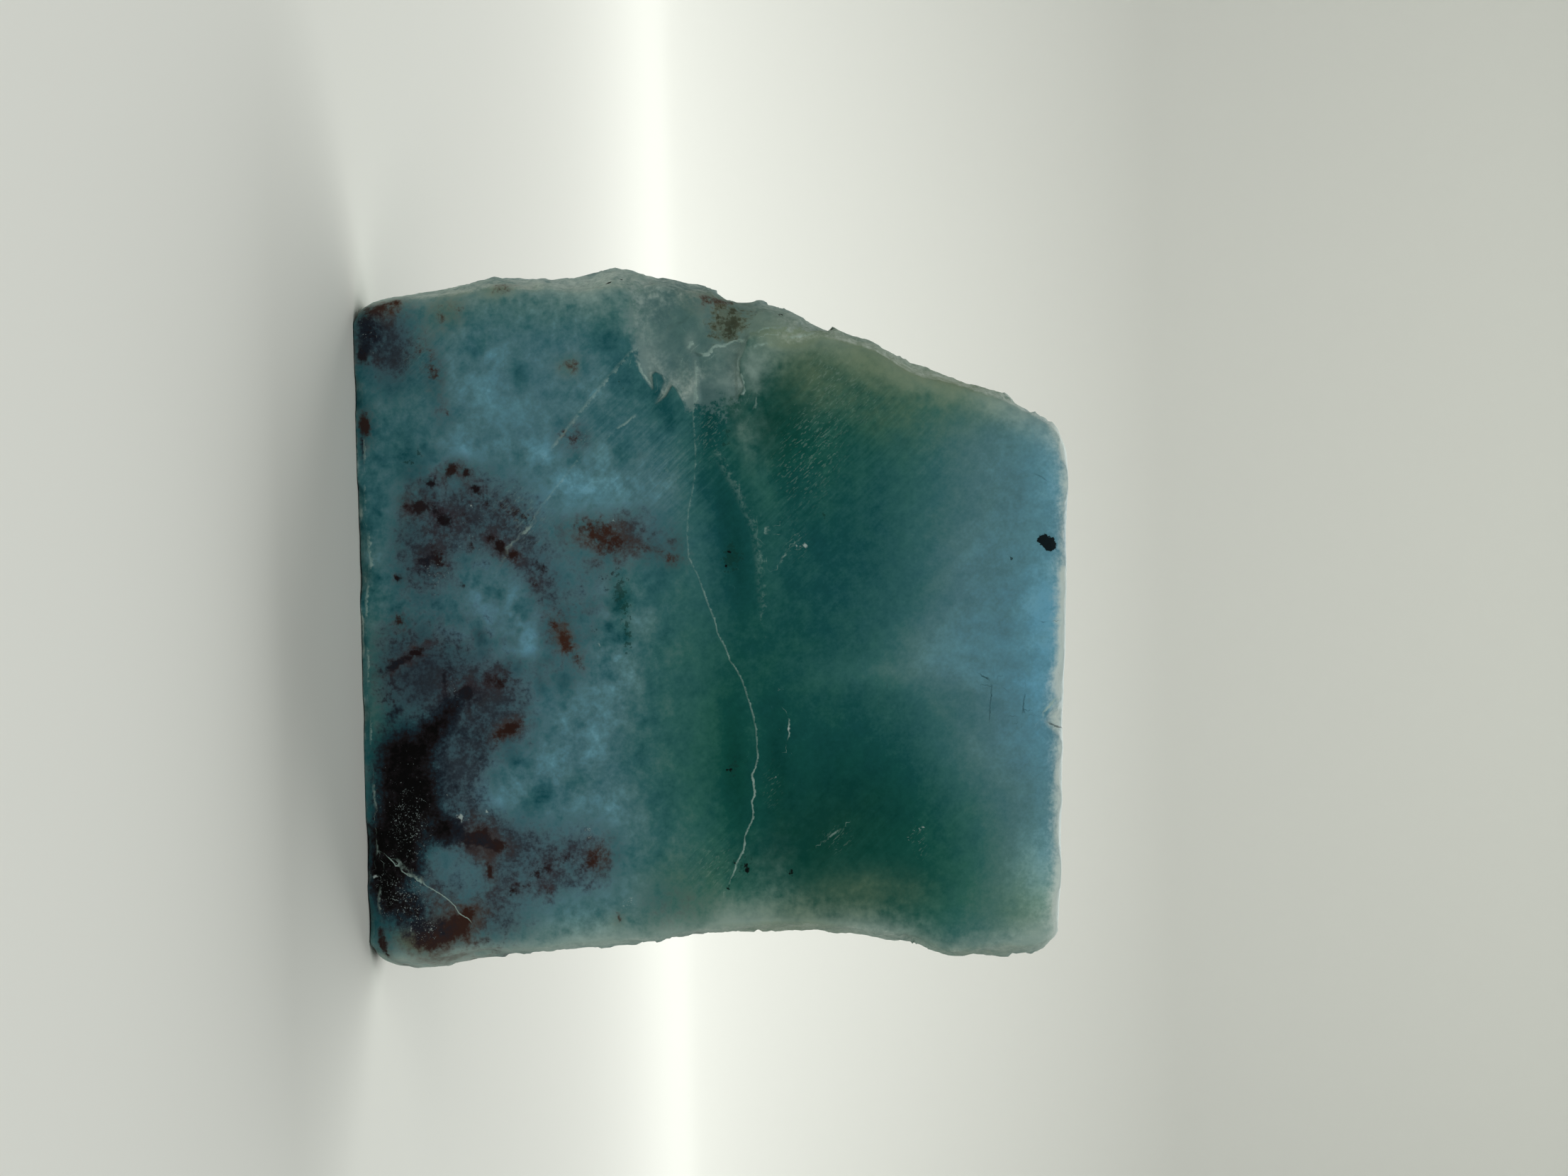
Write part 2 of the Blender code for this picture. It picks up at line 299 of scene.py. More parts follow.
def inside_outline(path):
    """How far each point is inside a closed outline, in mm, and below 0 outside it."""
    closed = path + path[:1]
    within = np.zeros(count, dtype=bool)
    for (start_x, start_z), (end_x, end_z) in zip(closed, closed[1:]):
        if start_z == end_z:
            continue
        crosses = (start_z > up) != (end_z > up)
        edge_x = start_x + (end_x - start_x) * (up - start_z) / (end_z - start_z)
        within ^= crosses & (across < edge_x)
    return np.where(within, 1, -1) * distance_to_line(closed)


# The spall at the left rim and the pit in it, the chip under the top, and other scars: (outline,
# depth, width of the slope into it). Each is sunk into the front face.
SPALL = (
    (-19.5, 14.4), (-17.6, 14.6), (-14.4, 14.75), (-13.2, 15.05), (-12.5, 15.4), (-11.95, 15.8),
    (-12.75, 15.75), (-12.9, 16.0), (-12.7, 16.35), (-12.3, 16.5), (-11.6, 16.2), (-11.15, 15.95),
    (-11.55, 16.45), (-12.2, 16.85), (-11.95, 17.1), (-11.3, 17.4), (-10.75, 17.6), (-10.8, 17.95),
    (-10.9, 18.6), (-10.6, 19.2), (-11.0, 19.9), (-11.3, 20.25), (-11.9, 20.6), (-12.6, 20.4),
    (-13.3, 20.4), (-14.0, 20.7), (-14.9, 21.0), (-15.1, 22.4), (-14.9, 24.2), (-19.5, 24.2),
)
LEDGE = (
    (-14.4, 20.7), (-14.55, 19.95), (-14.2, 19.4), (-14.25, 18.9), (-13.9, 18.6), (-13.85, 18.0),
    (-12.6, 18.15), (-10.9, 18.1), (-10.6, 19.2), (-11.3, 20.25), (-12.2, 20.5), (-13.3, 20.4),
)
POCKET = (
    (-16.9, 19.6), (-16.4, 20.3), (-15.9, 20.6), (-15.2, 20.55), (-14.6, 20.2), (-14.4, 19.5),
    (-14.7, 18.9), (-15.3, 18.6), (-15.9, 18.5), (-16.6, 18.9),
)
TOP_CHIP = ((4.9, 37.6), (5.3, 36.8), (5.9, 35.95), (6.3, 36.25), (6.7, 36.9), (7.3, 37.5))
CORNER_CHIP = ((15.4, 37.6), (16.2, 35.8), (17.4, 33.6), (18.9, 31.6), (19.6, 34.0), (19.0, 37.6))
SCARS = (
    (SPALL, 0.1, 0.25), (LEDGE, 0.14, 0.2), (POCKET, 0.3, 0.5), (TOP_CHIP, 0.22, 0.9),
    (CORNER_CHIP, 0.25, 2.4),
)
# To the right of the spall's crisp outline the sawn face is whole, and there the spall runs out.
whole = ramp(-inside_outline(SPALL), 0.0, 0.12)
runs_out = spots(((-10.7, 19.4, 1.3, 1.2, 0, 1.0),))
whole = np.maximum(whole, runs_out) * ramp(across, -14.9, -14.3) * ramp(-across, 8.0, 9.0)
whole *= ramp(-up, -22.8, -21.4) * (up > 13.0) * (place[:, 1] < 0)
place[:, 1] -= whole * (place[:, 1] + HALF_THICKNESS)
for name, part in (("broken", 1.0), ("rim_edge", 1.0), ("rim_near", 0.8), ("rim_wide", 0.4)):
    spread[name] = spread[name] * (1 - part * whole)
broken = spread["broken"]
on_front = ramp(-place[:, 1], HALF_THICKNESS - 0.9, HALF_THICKNESS - 0.5)
for outline, depth, slope in SCARS:
    uneven = 0.16 * mottle(place, 0.8, 25) + 0.1 * mottle(place, 0.4, 26)
    sunk = ramp(inside_outline(outline) + uneven, 0.0, slope) * (1 - runs_out)
    place[:, 1] += depth * on_front * sunk

# The sawn faces stay flat and the base stays on the table.
place[:, 1] = np.clip(place[:, 1], -HALF_THICKNESS, HALF_THICKNESS)
place[:, 2] = np.clip(place[:, 2], 0, top_height(place[:, 0]))
stone_mesh.vertices.foreach_set("co", (place * MM).ravel())
stone_mesh.shade_smooth()
stone_mesh.update()
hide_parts("larimar_slab")
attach(stone, "root")

# The stone's minerals: milky and deep blue-green pectolite, olive rind, rusty and black iron
# spots. Each is a growth through the thickness of the slab, so its place on the front face
# drifts and bends with depth. Each is kept on the mesh as an amount, or as a distance in mm.
DRIFT_ACROSS = -0.3
DRIFT_UP = 0.5
BEND = 0.3

deep = np.clip(place[:, 1] + HALF_THICKNESS, 0, 2 * HALF_THICKNESS)
bend = BEND * np.maximum(0, deep - 0.4)
across = place[:, 0] + DRIFT_ACROSS * deep + bend * mottle(place, 5.5, 51)
up = place[:, 2] - DRIFT_UP * deep + bend * mottle(place, 5.5, 52)
up = np.where(up < 0, -0.6 * up, up)
level = place[:, 2]


# Milkiness: 0 is the deep clear stone and 1 the palest blue, first by height, then cloud by cloud
MILK_BY_HEIGHT = (
    (0.0, 0.5), (2.5, 0.56), (5.0, 0.62), (9.0, 0.67), (12.5, 0.65), (14.5, 0.55), (16.0, 0.44),
    (18.0, 0.38), (20.0, 0.3), (23.0, 0.28), (26.0, 0.33), (29.0, 0.42), (31.0, 0.55), (33.0, 0.68),
    (35.0, 0.75), (37.0, 0.88), (38.0, 0.95),
)
CLOUDS = (
    (2.3, 30.6, 2.2, 3.2, 0, 0.22), (3.4, 27.2, 0.8, 3.6, 0, 0.15), (-1.2, 33.4, 2.4, 2.4, -30, 0.08),
    (0.5, 36.2, 3.6, 1.3, 0, 0.16), (5.8, 35.6, 1.8, 1.0, 0, 0.04), (7.6, 31.5, 1.4, 3.6, 0, 0.04),
    (-3.4, 30.0, 2.6, 2.0, 0, 0.06), (-6.5, 13.6, 1.2, 2.2, 8, 0.15), (-6.3, 10.6, 1.1, 1.8, -10, 0.1),
    (-8.6, 9.8, 1.5, 1.1, 20, 0.12), (-11.2, 7.9, 2.4, 1.2, 10, 0.14), (-9.2, 5.6, 1.3, 1.2, 0, 0.13),
    (-12.3, 5.9, 1.3, 0.8, -20, 0.08), (-0.8, 6.8, 1.8, 1.5, 0, 0.1), (0.2, 8.8, 1.2, 0.8, 0, 0.06),
    (5.6, 12.6, 2.6, 1.4, 0, 0.15), (7.4, 10.4, 1.5, 2.2, 0, 0.12), (10.2, 12.8, 1.3, 1.5, 30, 0.08),
    (11.3, 14.6, 0.7, 1.9, -35, 0.1), (9.2, 6.3, 1.0, 1.3, 0, 0.14), (7.8, 5.6, 0.7, 0.9, 10, 0.1), (13.4, 4.7, 1.4, 1.5, 0, 0.12),
    (3.0, 14.4, 2.0, 0.8, 0, 0.08), (0.2, 15.4, 0.8, 1.0, 0, 0.12), (-3.2, 17.7, 2.6, 0.8, 0, 0.13),
    (-6.0, 16.6, 3.0, 1.0, -5, 0.12), (-9.5, 16.5, 2.0, 1.6, 0, 0.04), (15.8, 10.5, 1.3, 4.0, 0, 0.1),
    (-7.6, 21.2, 2.8, 0.7, 20, 0.14), (-2.0, 21.9, 3.0, 0.6, 3, 0.06), (4.0, 17.0, 4.2, 1.8, 0, 0.06),
    (12.5, 17.0, 2.4, 1.6, 0, 0.14), (3.0, 1.0, 4.0, 0.6, 0, 0.06), (-3.2, 1.3, 3.0, 0.6, 0, 0.08),
    (-1.0, 4.4, 1.2, 0.8, 0, 0.06), (15.4, 19.0, 1.3, 3.4, 0, 0.22), (-7.4, 34.0, 2.6, 3.0, 0, 0.04),
    (-13.4, 7.2, 1.6, 0.5, 0, 0.08), (-7.5, 14.5, 1.6, 2.6, 0, 0.08), (8.6, 5.3, 0.8, 0.5, 0, 0.06),
    (15.0, 14.0, 2.0, 2.4, 0, 0.08), (14.6, 35.4, 2.8, 1.8, 0, 0.2), (-10.6, 14.0, 2.4, 0.9, 0, 0.07),
    (-6.4, 15.0, 1.2, 2.2, 0, 0.08),
)
DEEP_PLACES = (
    (10.2, 26.6, 3.6, 3.8, 0, -0.3), (12.6, 23.4, 2.4, 2.4, 0, -0.14), (-10.0, 22.6, 2.2, 1.6, 0, -0.2),
    (-2.6, 20.0, 3.2, 0.8, 8, -0.14), (8.0, 19.6, 3.6, 0.8, 3, -0.22), (8.0, 21.9, 3.6, 0.8, 0, -0.18),
    (-3.4, 26.4, 2.6, 2.2, 0, -0.06), (12.2, 32.2, 2.8, 3.4, 0, -0.12), (14.5, 29.5, 2.0, 3.0, 0, -0.14),
    (-10.5, 18.8, 1.4, 0.5, 0, -0.12), (-8.4, 18.5, 3.0, 0.5, -4, -0.1), (-5.4, 19.5, 3.4, 0.7, 12, -0.14), (-10.9, 16.3, 1.2, 0.6, 25, -0.24),
    (-12.9, 8.7, 0.95, 0.45, 8, -0.34), (-14.4, 6.8, 1.0, 0.3, -25, -0.26), (-1.2, 7.4, 0.4, 0.35, 0, -0.34),
    (0.8, 6.2, 0.7, 0.3, 0, -0.28), (9.4, 9.3, 0.5, 0.65, 20, -0.4), (8.7, 11.3, 0.55, 0.8, 20, -0.34),
    (10.1, 8.8, 0.5, 0.45, 0, -0.3), (-8.5, 8.7, 0.6, 0.4, 0, -0.18), (-8.7, 2.6, 1.2, 0.9, 0, -0.24),
    (-14.8, 13.3, 1.2, 0.9, 0, -0.26), (-12.2, 14.2, 1.6, 1.0, 0, -0.14), (3.6, 10.7, 0.5, 0.5, 0, -0.24),
    (3.8, 9.5, 0.5, 0.4, 0, -0.22), (7.2, 14.2, 1.4, 0.9, 0, -0.14), (-0.8, 13.8, 1.1, 0.6, 0, -0.2),
    (1.0, 12.9, 0.9, 0.8, 0, -0.12), (6.4, 8.0, 3.0, 1.8, 0, -0.1),
    (0.5, 10.6, 3.0, 1.4, 0, -0.1), (3.4, 3.0, 4.0, 2.2, 0, -0.06), (0.6, 7.2, 2.4, 1.6, 0, -0.04), (-8.6, 14.0, 0.6, 0.5, 0, -0.2), (-12.6, 4.2, 1.4, 0.5, 0, -0.1),
    (-15.6, 9.8, 0.8, 2.0, 0, -0.08), (7.0, 1.2, 2.4, 1.0, 0, -0.14), (-10.5, 12.6, 0.9, 0.9, 0, -0.1),
    (-13.5, 2.6, 2.2, 1.2, 0, -0.14), (-4.5, 10.8, 1.2, 0.6, 20, -0.1), (3.0, 3.4, 1.8, 1.6, 0, -0.22),
    (1.2, 14.0, 1.4, 0.4, 0, -0.1), (-11.6, 20.1, 1.5, 0.6, 0, -0.16), (-4.4, 2.6, 0.8, 0.8, 0, -0.1),
)
milk = np.interp(up, *np.array(MILK_BY_HEIGHT).T) + spots(CLOUDS) + spots(DEEP_PLACES)
milk += (0.03 + 0.012 * deep) * mottle(place, 3.4, 61)

# Soft rays fan out upwards through the top of the stone.
FAN_ROOT = (1.6, 26.0)
FAN_PLACES = ((1.0, 34.0, 7.5, 3.6, 0, 1.0), (0.5, 31.0, 5.0, 3.0, 0, 0.5))
from_root = np.hypot(across - FAN_ROOT[0], up - FAN_ROOT[1])
swing = np.arctan2(across - FAN_ROOT[0], np.maximum(up - FAN_ROOT[1], 0.1))
rays = np.stack([7.5 * swing, 0.3 * from_root, 0.3 * deep], axis=1)
fan = 0.6 * mottle(rays, 1.1, 62) + 0.5 * mottle(rays, 0.5, 63)
milk += 0.11 * fan * spots(FAN_PLACES)
keep("milk", milk)

# How restless the milk is, and where it closes round small clear cells
UNREST_BY_HEIGHT = ((0.0, 1.0), (12.0, 0.9), (15.0, 0.7), (17.5, 0.4), (22.0, 0.3), (38.0, 0.25))
CELL_PLACES = (
    (1.0, 8.2, 3.0, 2.6, 0, 1.0), (0.4, 13.3, 2.2, 1.2, 0, 1.0), (-13.0, 6.5, 3.0, 2.0, 0, 0.4),
    (7.5, 8.0, 3.0, 3.0, 0, 0.5), (2.5, 3.0, 3.0, 2.0, 0, 0.6), (-8.0, 12.0, 2.6, 3.0, 0, 0.5),
    (-3.8, 14.8, 1.4, 1.4, 0, 0.6), (-7.0, 4.5, 3.0, 2.6, 0, 0.6), (13.0, 12.5, 2.5, 2.5, 0, 0.4),
)
UNREST_PLACES = (
    (-4.0, 6.0, 3.4, 3.6, 0, 0.5), (1.5, 3.0, 3.4, 2.4, 0, 0.9), (0.5, 13.5, 3.4, 1.6, 0, 0.5),
    (6.0, 6.5, 2.6, 2.0, 0, 0.4), (1.0, 8.0, 2.6, 2.6, 0, 0.3), (-11.5, 8.0, 4.0, 3.6, 0, -0.45),
)
keep("unrest", np.interp(up, *np.array(UNREST_BY_HEIGHT).T) + spots(UNREST_PLACES))
keep("cells", np.minimum(spots(CELL_PLACES), 1.0))

# Greenness: 0 is steel blue and 1 is bottle green
GREEN_BY_HEIGHT = (
    (0.0, 0.28), (4.0, 0.16), (10.0, 0.12), (13.5, 0.25), (16.0, 0.6), (20.0, 0.85), (25.0, 0.72),
    (28.0, 0.6), (31.0, 0.42), (34.0, 0.2), (37.0, 0.12),
)
GREEN_PLACES = (
    (-15.0, 22.5, 2.0, 4.0, -20, 0.3), (-10.8, 33.5, 1.2, 3.0, -20, 0.3),
    (13.5, 30.0, 4.5, 6.0, 0, 0.5), (16.5, 22.0, 3.0, 9.0, 0, 0.4), (-11.0, 25.0, 4.0, 5.0, 0, 0.4),
    (-12.5, 32.0, 3.0, 4.0, 0, 0.5), (16.5, 35.5, 2.5, 2.5, 0, 0.7), (1.0, 32.0, 4.5, 3.0, 0, -0.2),
    (17.0, 10.0, 1.6, 6.0, 0, 0.3), (-16.8, 10.0, 1.6, 6.0, 0, 0.4), (-4.0, 19.0, 5.0, 1.6, 0, -0.3),
    (-6.0, 16.0, 5.0, 1.5, 0, -0.4), (-2.0, 25.0, 4.0, 4.0, 0, -0.2), (5.0, 0.8, 7.0, 0.9, 0, 0.3),
    (-12.0, 17.5, 3.5, 3.0, 0, -0.15), (-0.8, 13.8, 1.4, 0.8, 0, 0.2), (7.5, 18.5, 5.0, 2.2, 0, 0.2),
    (5.5, 35.5, 4.0, 2.0, 0, -0.15),
)
green = np.interp(up, *np.array(GREEN_BY_HEIGHT).T) + spots(GREEN_PLACES)
keep("green", green)

# Dark green grains, gathered in mossy patches
MOSS_PLACES = (
    (-1.0, 13.9, 1.2, 0.5, 0, 0.85), (1.2, 14.1, 1.4, 0.25, 0, 0.8), (-2.0, 13.2, 0.7, 0.5, 0, 0.5),
    (-2.9, 19.8, 0.7, 0.5, -30, 1.3), (8.2, 19.5, 0.6, 0.35, -20, 0.9), (13.4, 20.1, 0.5, 0.3, -40, 0.9),
    (13.9, 22.5, 0.3, 0.2, 0, 0.9), (-4.9, 24.8, 0.3, 0.25, 0, 0.5), (0.9, 12.6, 0.6, 0.6, 0, 0.4),
    (-12.4, 14.0, 1.2, 0.5, 0, 0.3), (4.4, 27.6, 0.3, 0.15, 0, 0.6), (7.4, 21.6, 1.6, 0.3, 0, 0.35),
    (-9.2, 19.6, 0.8, 0.4, -35, 0.5), (3.6, 1.4, 1.2, 0.8, 0, 0.5), (-8.7, 3.0, 0.8, 0.7, 0, 0.4),
)
keep("moss", spots(MOSS_PLACES))

# The rind and the thin rims: olive where the lump weathered, pale where the rind is whitish and, as painted light,
# where light comes through the thin rims and the top edge.
OLIVE_PLACES = (
    (-12.4, 31.4, 1.3, 3.0, -22, 0.62), (-13.4, 27.4, 1.4, 2.6, -24, 0.5), (-10.8, 28.5, 2.4, 5.0, -18, 0.3),
    (-12.6, 24.0, 2.2, 1.8, 0, 0.3), (16.4, 22.0, 1.2, 4.0, 0, 0.3), (15.2, 26.5, 1.5, 4.0, 0, 0.34),
    (14.2, 17.0, 2.0, 2.6, 0, 0.25), (-17.4, 7.6, 0.7, 1.2, 0, 0.45), (-16.4, 5.0, 1.2, 1.2, 0, 0.4), (-13.0, 4.0, 3.6, 2.4, 0, 0.16),
    (-13.2, 11.4, 0.7, 0.8, 0, 0.42), (17.0, 2.3, 0.6, 1.0, -20, 0.8), (11.5, 25.0, 3.0, 5.0, 0, 0.08),
    (18.3, 30.5, 0.7, 2.5, 0, 0.2), (3.5, 0.6, 4.0, 0.5, 0, 0.2), (-15.4, 22.5, 1.8, 2.8, -20, 0.36),
    (16.8, 35.0, 1.4, 1.6, 0, 0.2), (-17.4, 18.2, 0.6, 1.2, 0, 0.5), (16.2, 13.2, 0.8, 0.8, 0, 0.25),
)
PALE_RIND_AND_BACKLIGHT_PLACES = (
    (17.2, 35.2, 0.8, 2.4, 25, 0.24), (17.6, 35.8, 1.0, 1.0, 0, 0.2), (-8.6, 36.8, 1.3, 0.8, 0, 0.3), (17.9, 12.0, 0.8, 4.0, 0, 0.25),
    (18.0, 4.0, 0.6, 1.8, 0, 0.2), (-18.2, 12.5, 0.8, 2.5, 0, 0.18), (16.2, 18.0, 1.2, 4.6, 0, 0.22),
    (-15.8, 22.8, 1.0, 1.8, -20, 0.26), (16.4, 10.5, 0.8, 4.0, 0, 0.12), (-16.8, 12.0, 1.0, 1.6, 0, 0.16),
    (-15.6, 16.8, 2.4, 1.9, 0, -0.44), (-13.6, 18.6, 2.0, 1.6, 0, -0.3), (-15.0, 21.6, 1.4, 1.2, 0, -0.3),
    (-12.2, 21.2, 1.8, 0.4, 12, 0.12), (-9.2, 20.6, 1.8, 0.6, 20, 0.12), (-12.8, 28.2, 1.6, 3.0, -20, 0.24),
    (-9.6, 21.4, 3.4, 2.2, 0, 0.16), (13.6, 21.2, 2.6, 2.2, 0, 0.2), (16.0, 25.0, 1.3, 5.0, 0, 0.12), (-13.3, 21.5, 1.7, 0.8, -8, 0.3),
    (-10.4, 34.0, 0.7, 2.2, -20, 0.22),
)
below_top = top_height(place[:, 0]) - place[:, 2]
top_near = np.exp(-((below_top / 0.6) ** 2))
base_near = np.exp(-((place[:, 2] / 0.3) ** 2))
olive = spots(OLIVE_PLACES)
keep("olive", olive + 0.14 * broken * (1 + mottle(place, 3.0, 71)))
# Paler near the broken sides, the top edge and the base: partly the rind's own colour and chips, partly painted light
# coming through the thin rims.
pale_rind_and_backlight = 0.16 * ramp(spread["rim_near"], 0.02, 0.9) + 0.52 * ramp(spread["rim_wide"], 0.04, 0.62)
pale_rind_and_backlight *= 1 + 0.08 * np.tanh(place[:, 0] / 6)
pale_rind_and_backlight += 0.5 * top_near + 0.2 * base_near + spots(PALE_RIND_AND_BACKLIGHT_PLACES)
pale_rind_and_backlight = np.maximum(pale_rind_and_backlight, 0) * (1 + 0.25 * mottle(place, 1.6, 72))
keep("pale_rind_and_backlight", pale_rind_and_backlight + 0.45 * spalled)
keep("broken", np.maximum(broken, spalled))

# Painted light: light from behind that shines through the thin edges is painted into the colour as a pale glow, most
# at the top, and along the broken sides.
PAINTED_BACKLIGHT_PLACES = (
    (6.0, 36.6, 0.7, 0.6, 0, 0.2), (14.5, 36.6, 3.0, 0.5, -3, 0.26), (1.0, 37.3, 2.4, 0.35, 0, 0.5),
    (3.6, 37.0, 1.6, 0.4, -20, 0.45), (9.0, 36.8, 1.6, 0.35, 0, 0.05), (12.6, 36.6, 1.2, 0.4, 0, 0.1),
    (-9.3, 37.0, 0.9, 0.6, 0, 0.3), (18.2, 3.0, 0.5, 2.2, 0, 0.2), (-15.0, 18.6, 2.6, 4.6, 0, -0.6),
)
painted_backlight = 0.62 * np.exp(-((below_top / 0.42) ** 2)) + 0.3 * np.exp(-((below_top / 1.1) ** 2))
painted_backlight += (0.45 - 0.1 * np.tanh(place[:, 0] / 6)) * ramp(spread["rim_edge"], 0.35, 1.0) + 0.35 * np.exp(-((place[:, 2] / 0.16) ** 2))
painted_backlight += 0.3 * spalled + spots(PAINTED_BACKLIGHT_PLACES)
keep("painted_backlight", np.maximum(painted_backlight, 0) * (1 + 0.35 * mottle(place, 1.3, 73)))

# Purple-grey haze: fine dark grains scattered through the milk round the iron spots
HAZE_PLACES = (
    (-5.2, 7.2, 2.2, 3.0, -20, 0.9), (-2.6, 9.4, 1.6, 1.0, 40, 0.6), (4.0, 7.0, 2.0, 2.2, 0, 0.95),
    (13.4, 9.2, 1.8, 3.0, 20, 0.72), (-14.6, 1.9, 2.0, 1.3, 0, 1.15), (-4.2, 14.4, 1.4, 1.9, 0, 0.8),
    (-3.0, 3.4, 2.0, 1.6, 0, 0.75), (6.6, 5.6, 2.6, 1.3, -10, 1.15), (12.8, 12.0, 1.6, 1.2, 0, 0.6),
    (-13.2, 4.3, 1.2, 0.7, 0, 0.4), (2.8, 3.4, 2.6, 2.2, 0, 0.95), (11.6, 6.6, 1.2, 2.2, 0, 0.8),
    (-1.5, 12.4, 2.6, 1.4, 0, 0.35), (-9.4, 11.6, 0.9, 1.0, 0, 0.5), (16.2, 6.6, 1.4, 2.2, 0, 0.6),
    (0.8, 10.4, 2.8, 1.2, 20, 0.5), (-11.0, 4.6, 0.8, 0.6, 0, 0.35), (14.6, 3.2, 2.4, 2.4, 0, 0.6),
    (8.4, 4.6, 2.2, 1.0, 0, 0.9), (-6.0, 4.0, 2.4, 1.8, 0, 0.5), (2.6, 1.6, 2.4, 1.0, 0, 0.4),
    (15.6, 16.0, 1.4, 2.4, 0, 0.3), (10.5, 5.6, 1.6, 1.0, 0, 0.4), (-3.2, 16.6, 0.9, 0.9, 0, 0.4),
    (6.4, 8.0, 1.3, 1.2, 0, 0.35), (0.3, 6.6, 1.8, 1.6, 0, 0.25), (12.2, 7.6, 1.2, 1.4, 0, 0.3),
)
keep("haze", np.minimum(spots(HAZE_PLACES), 0.95))

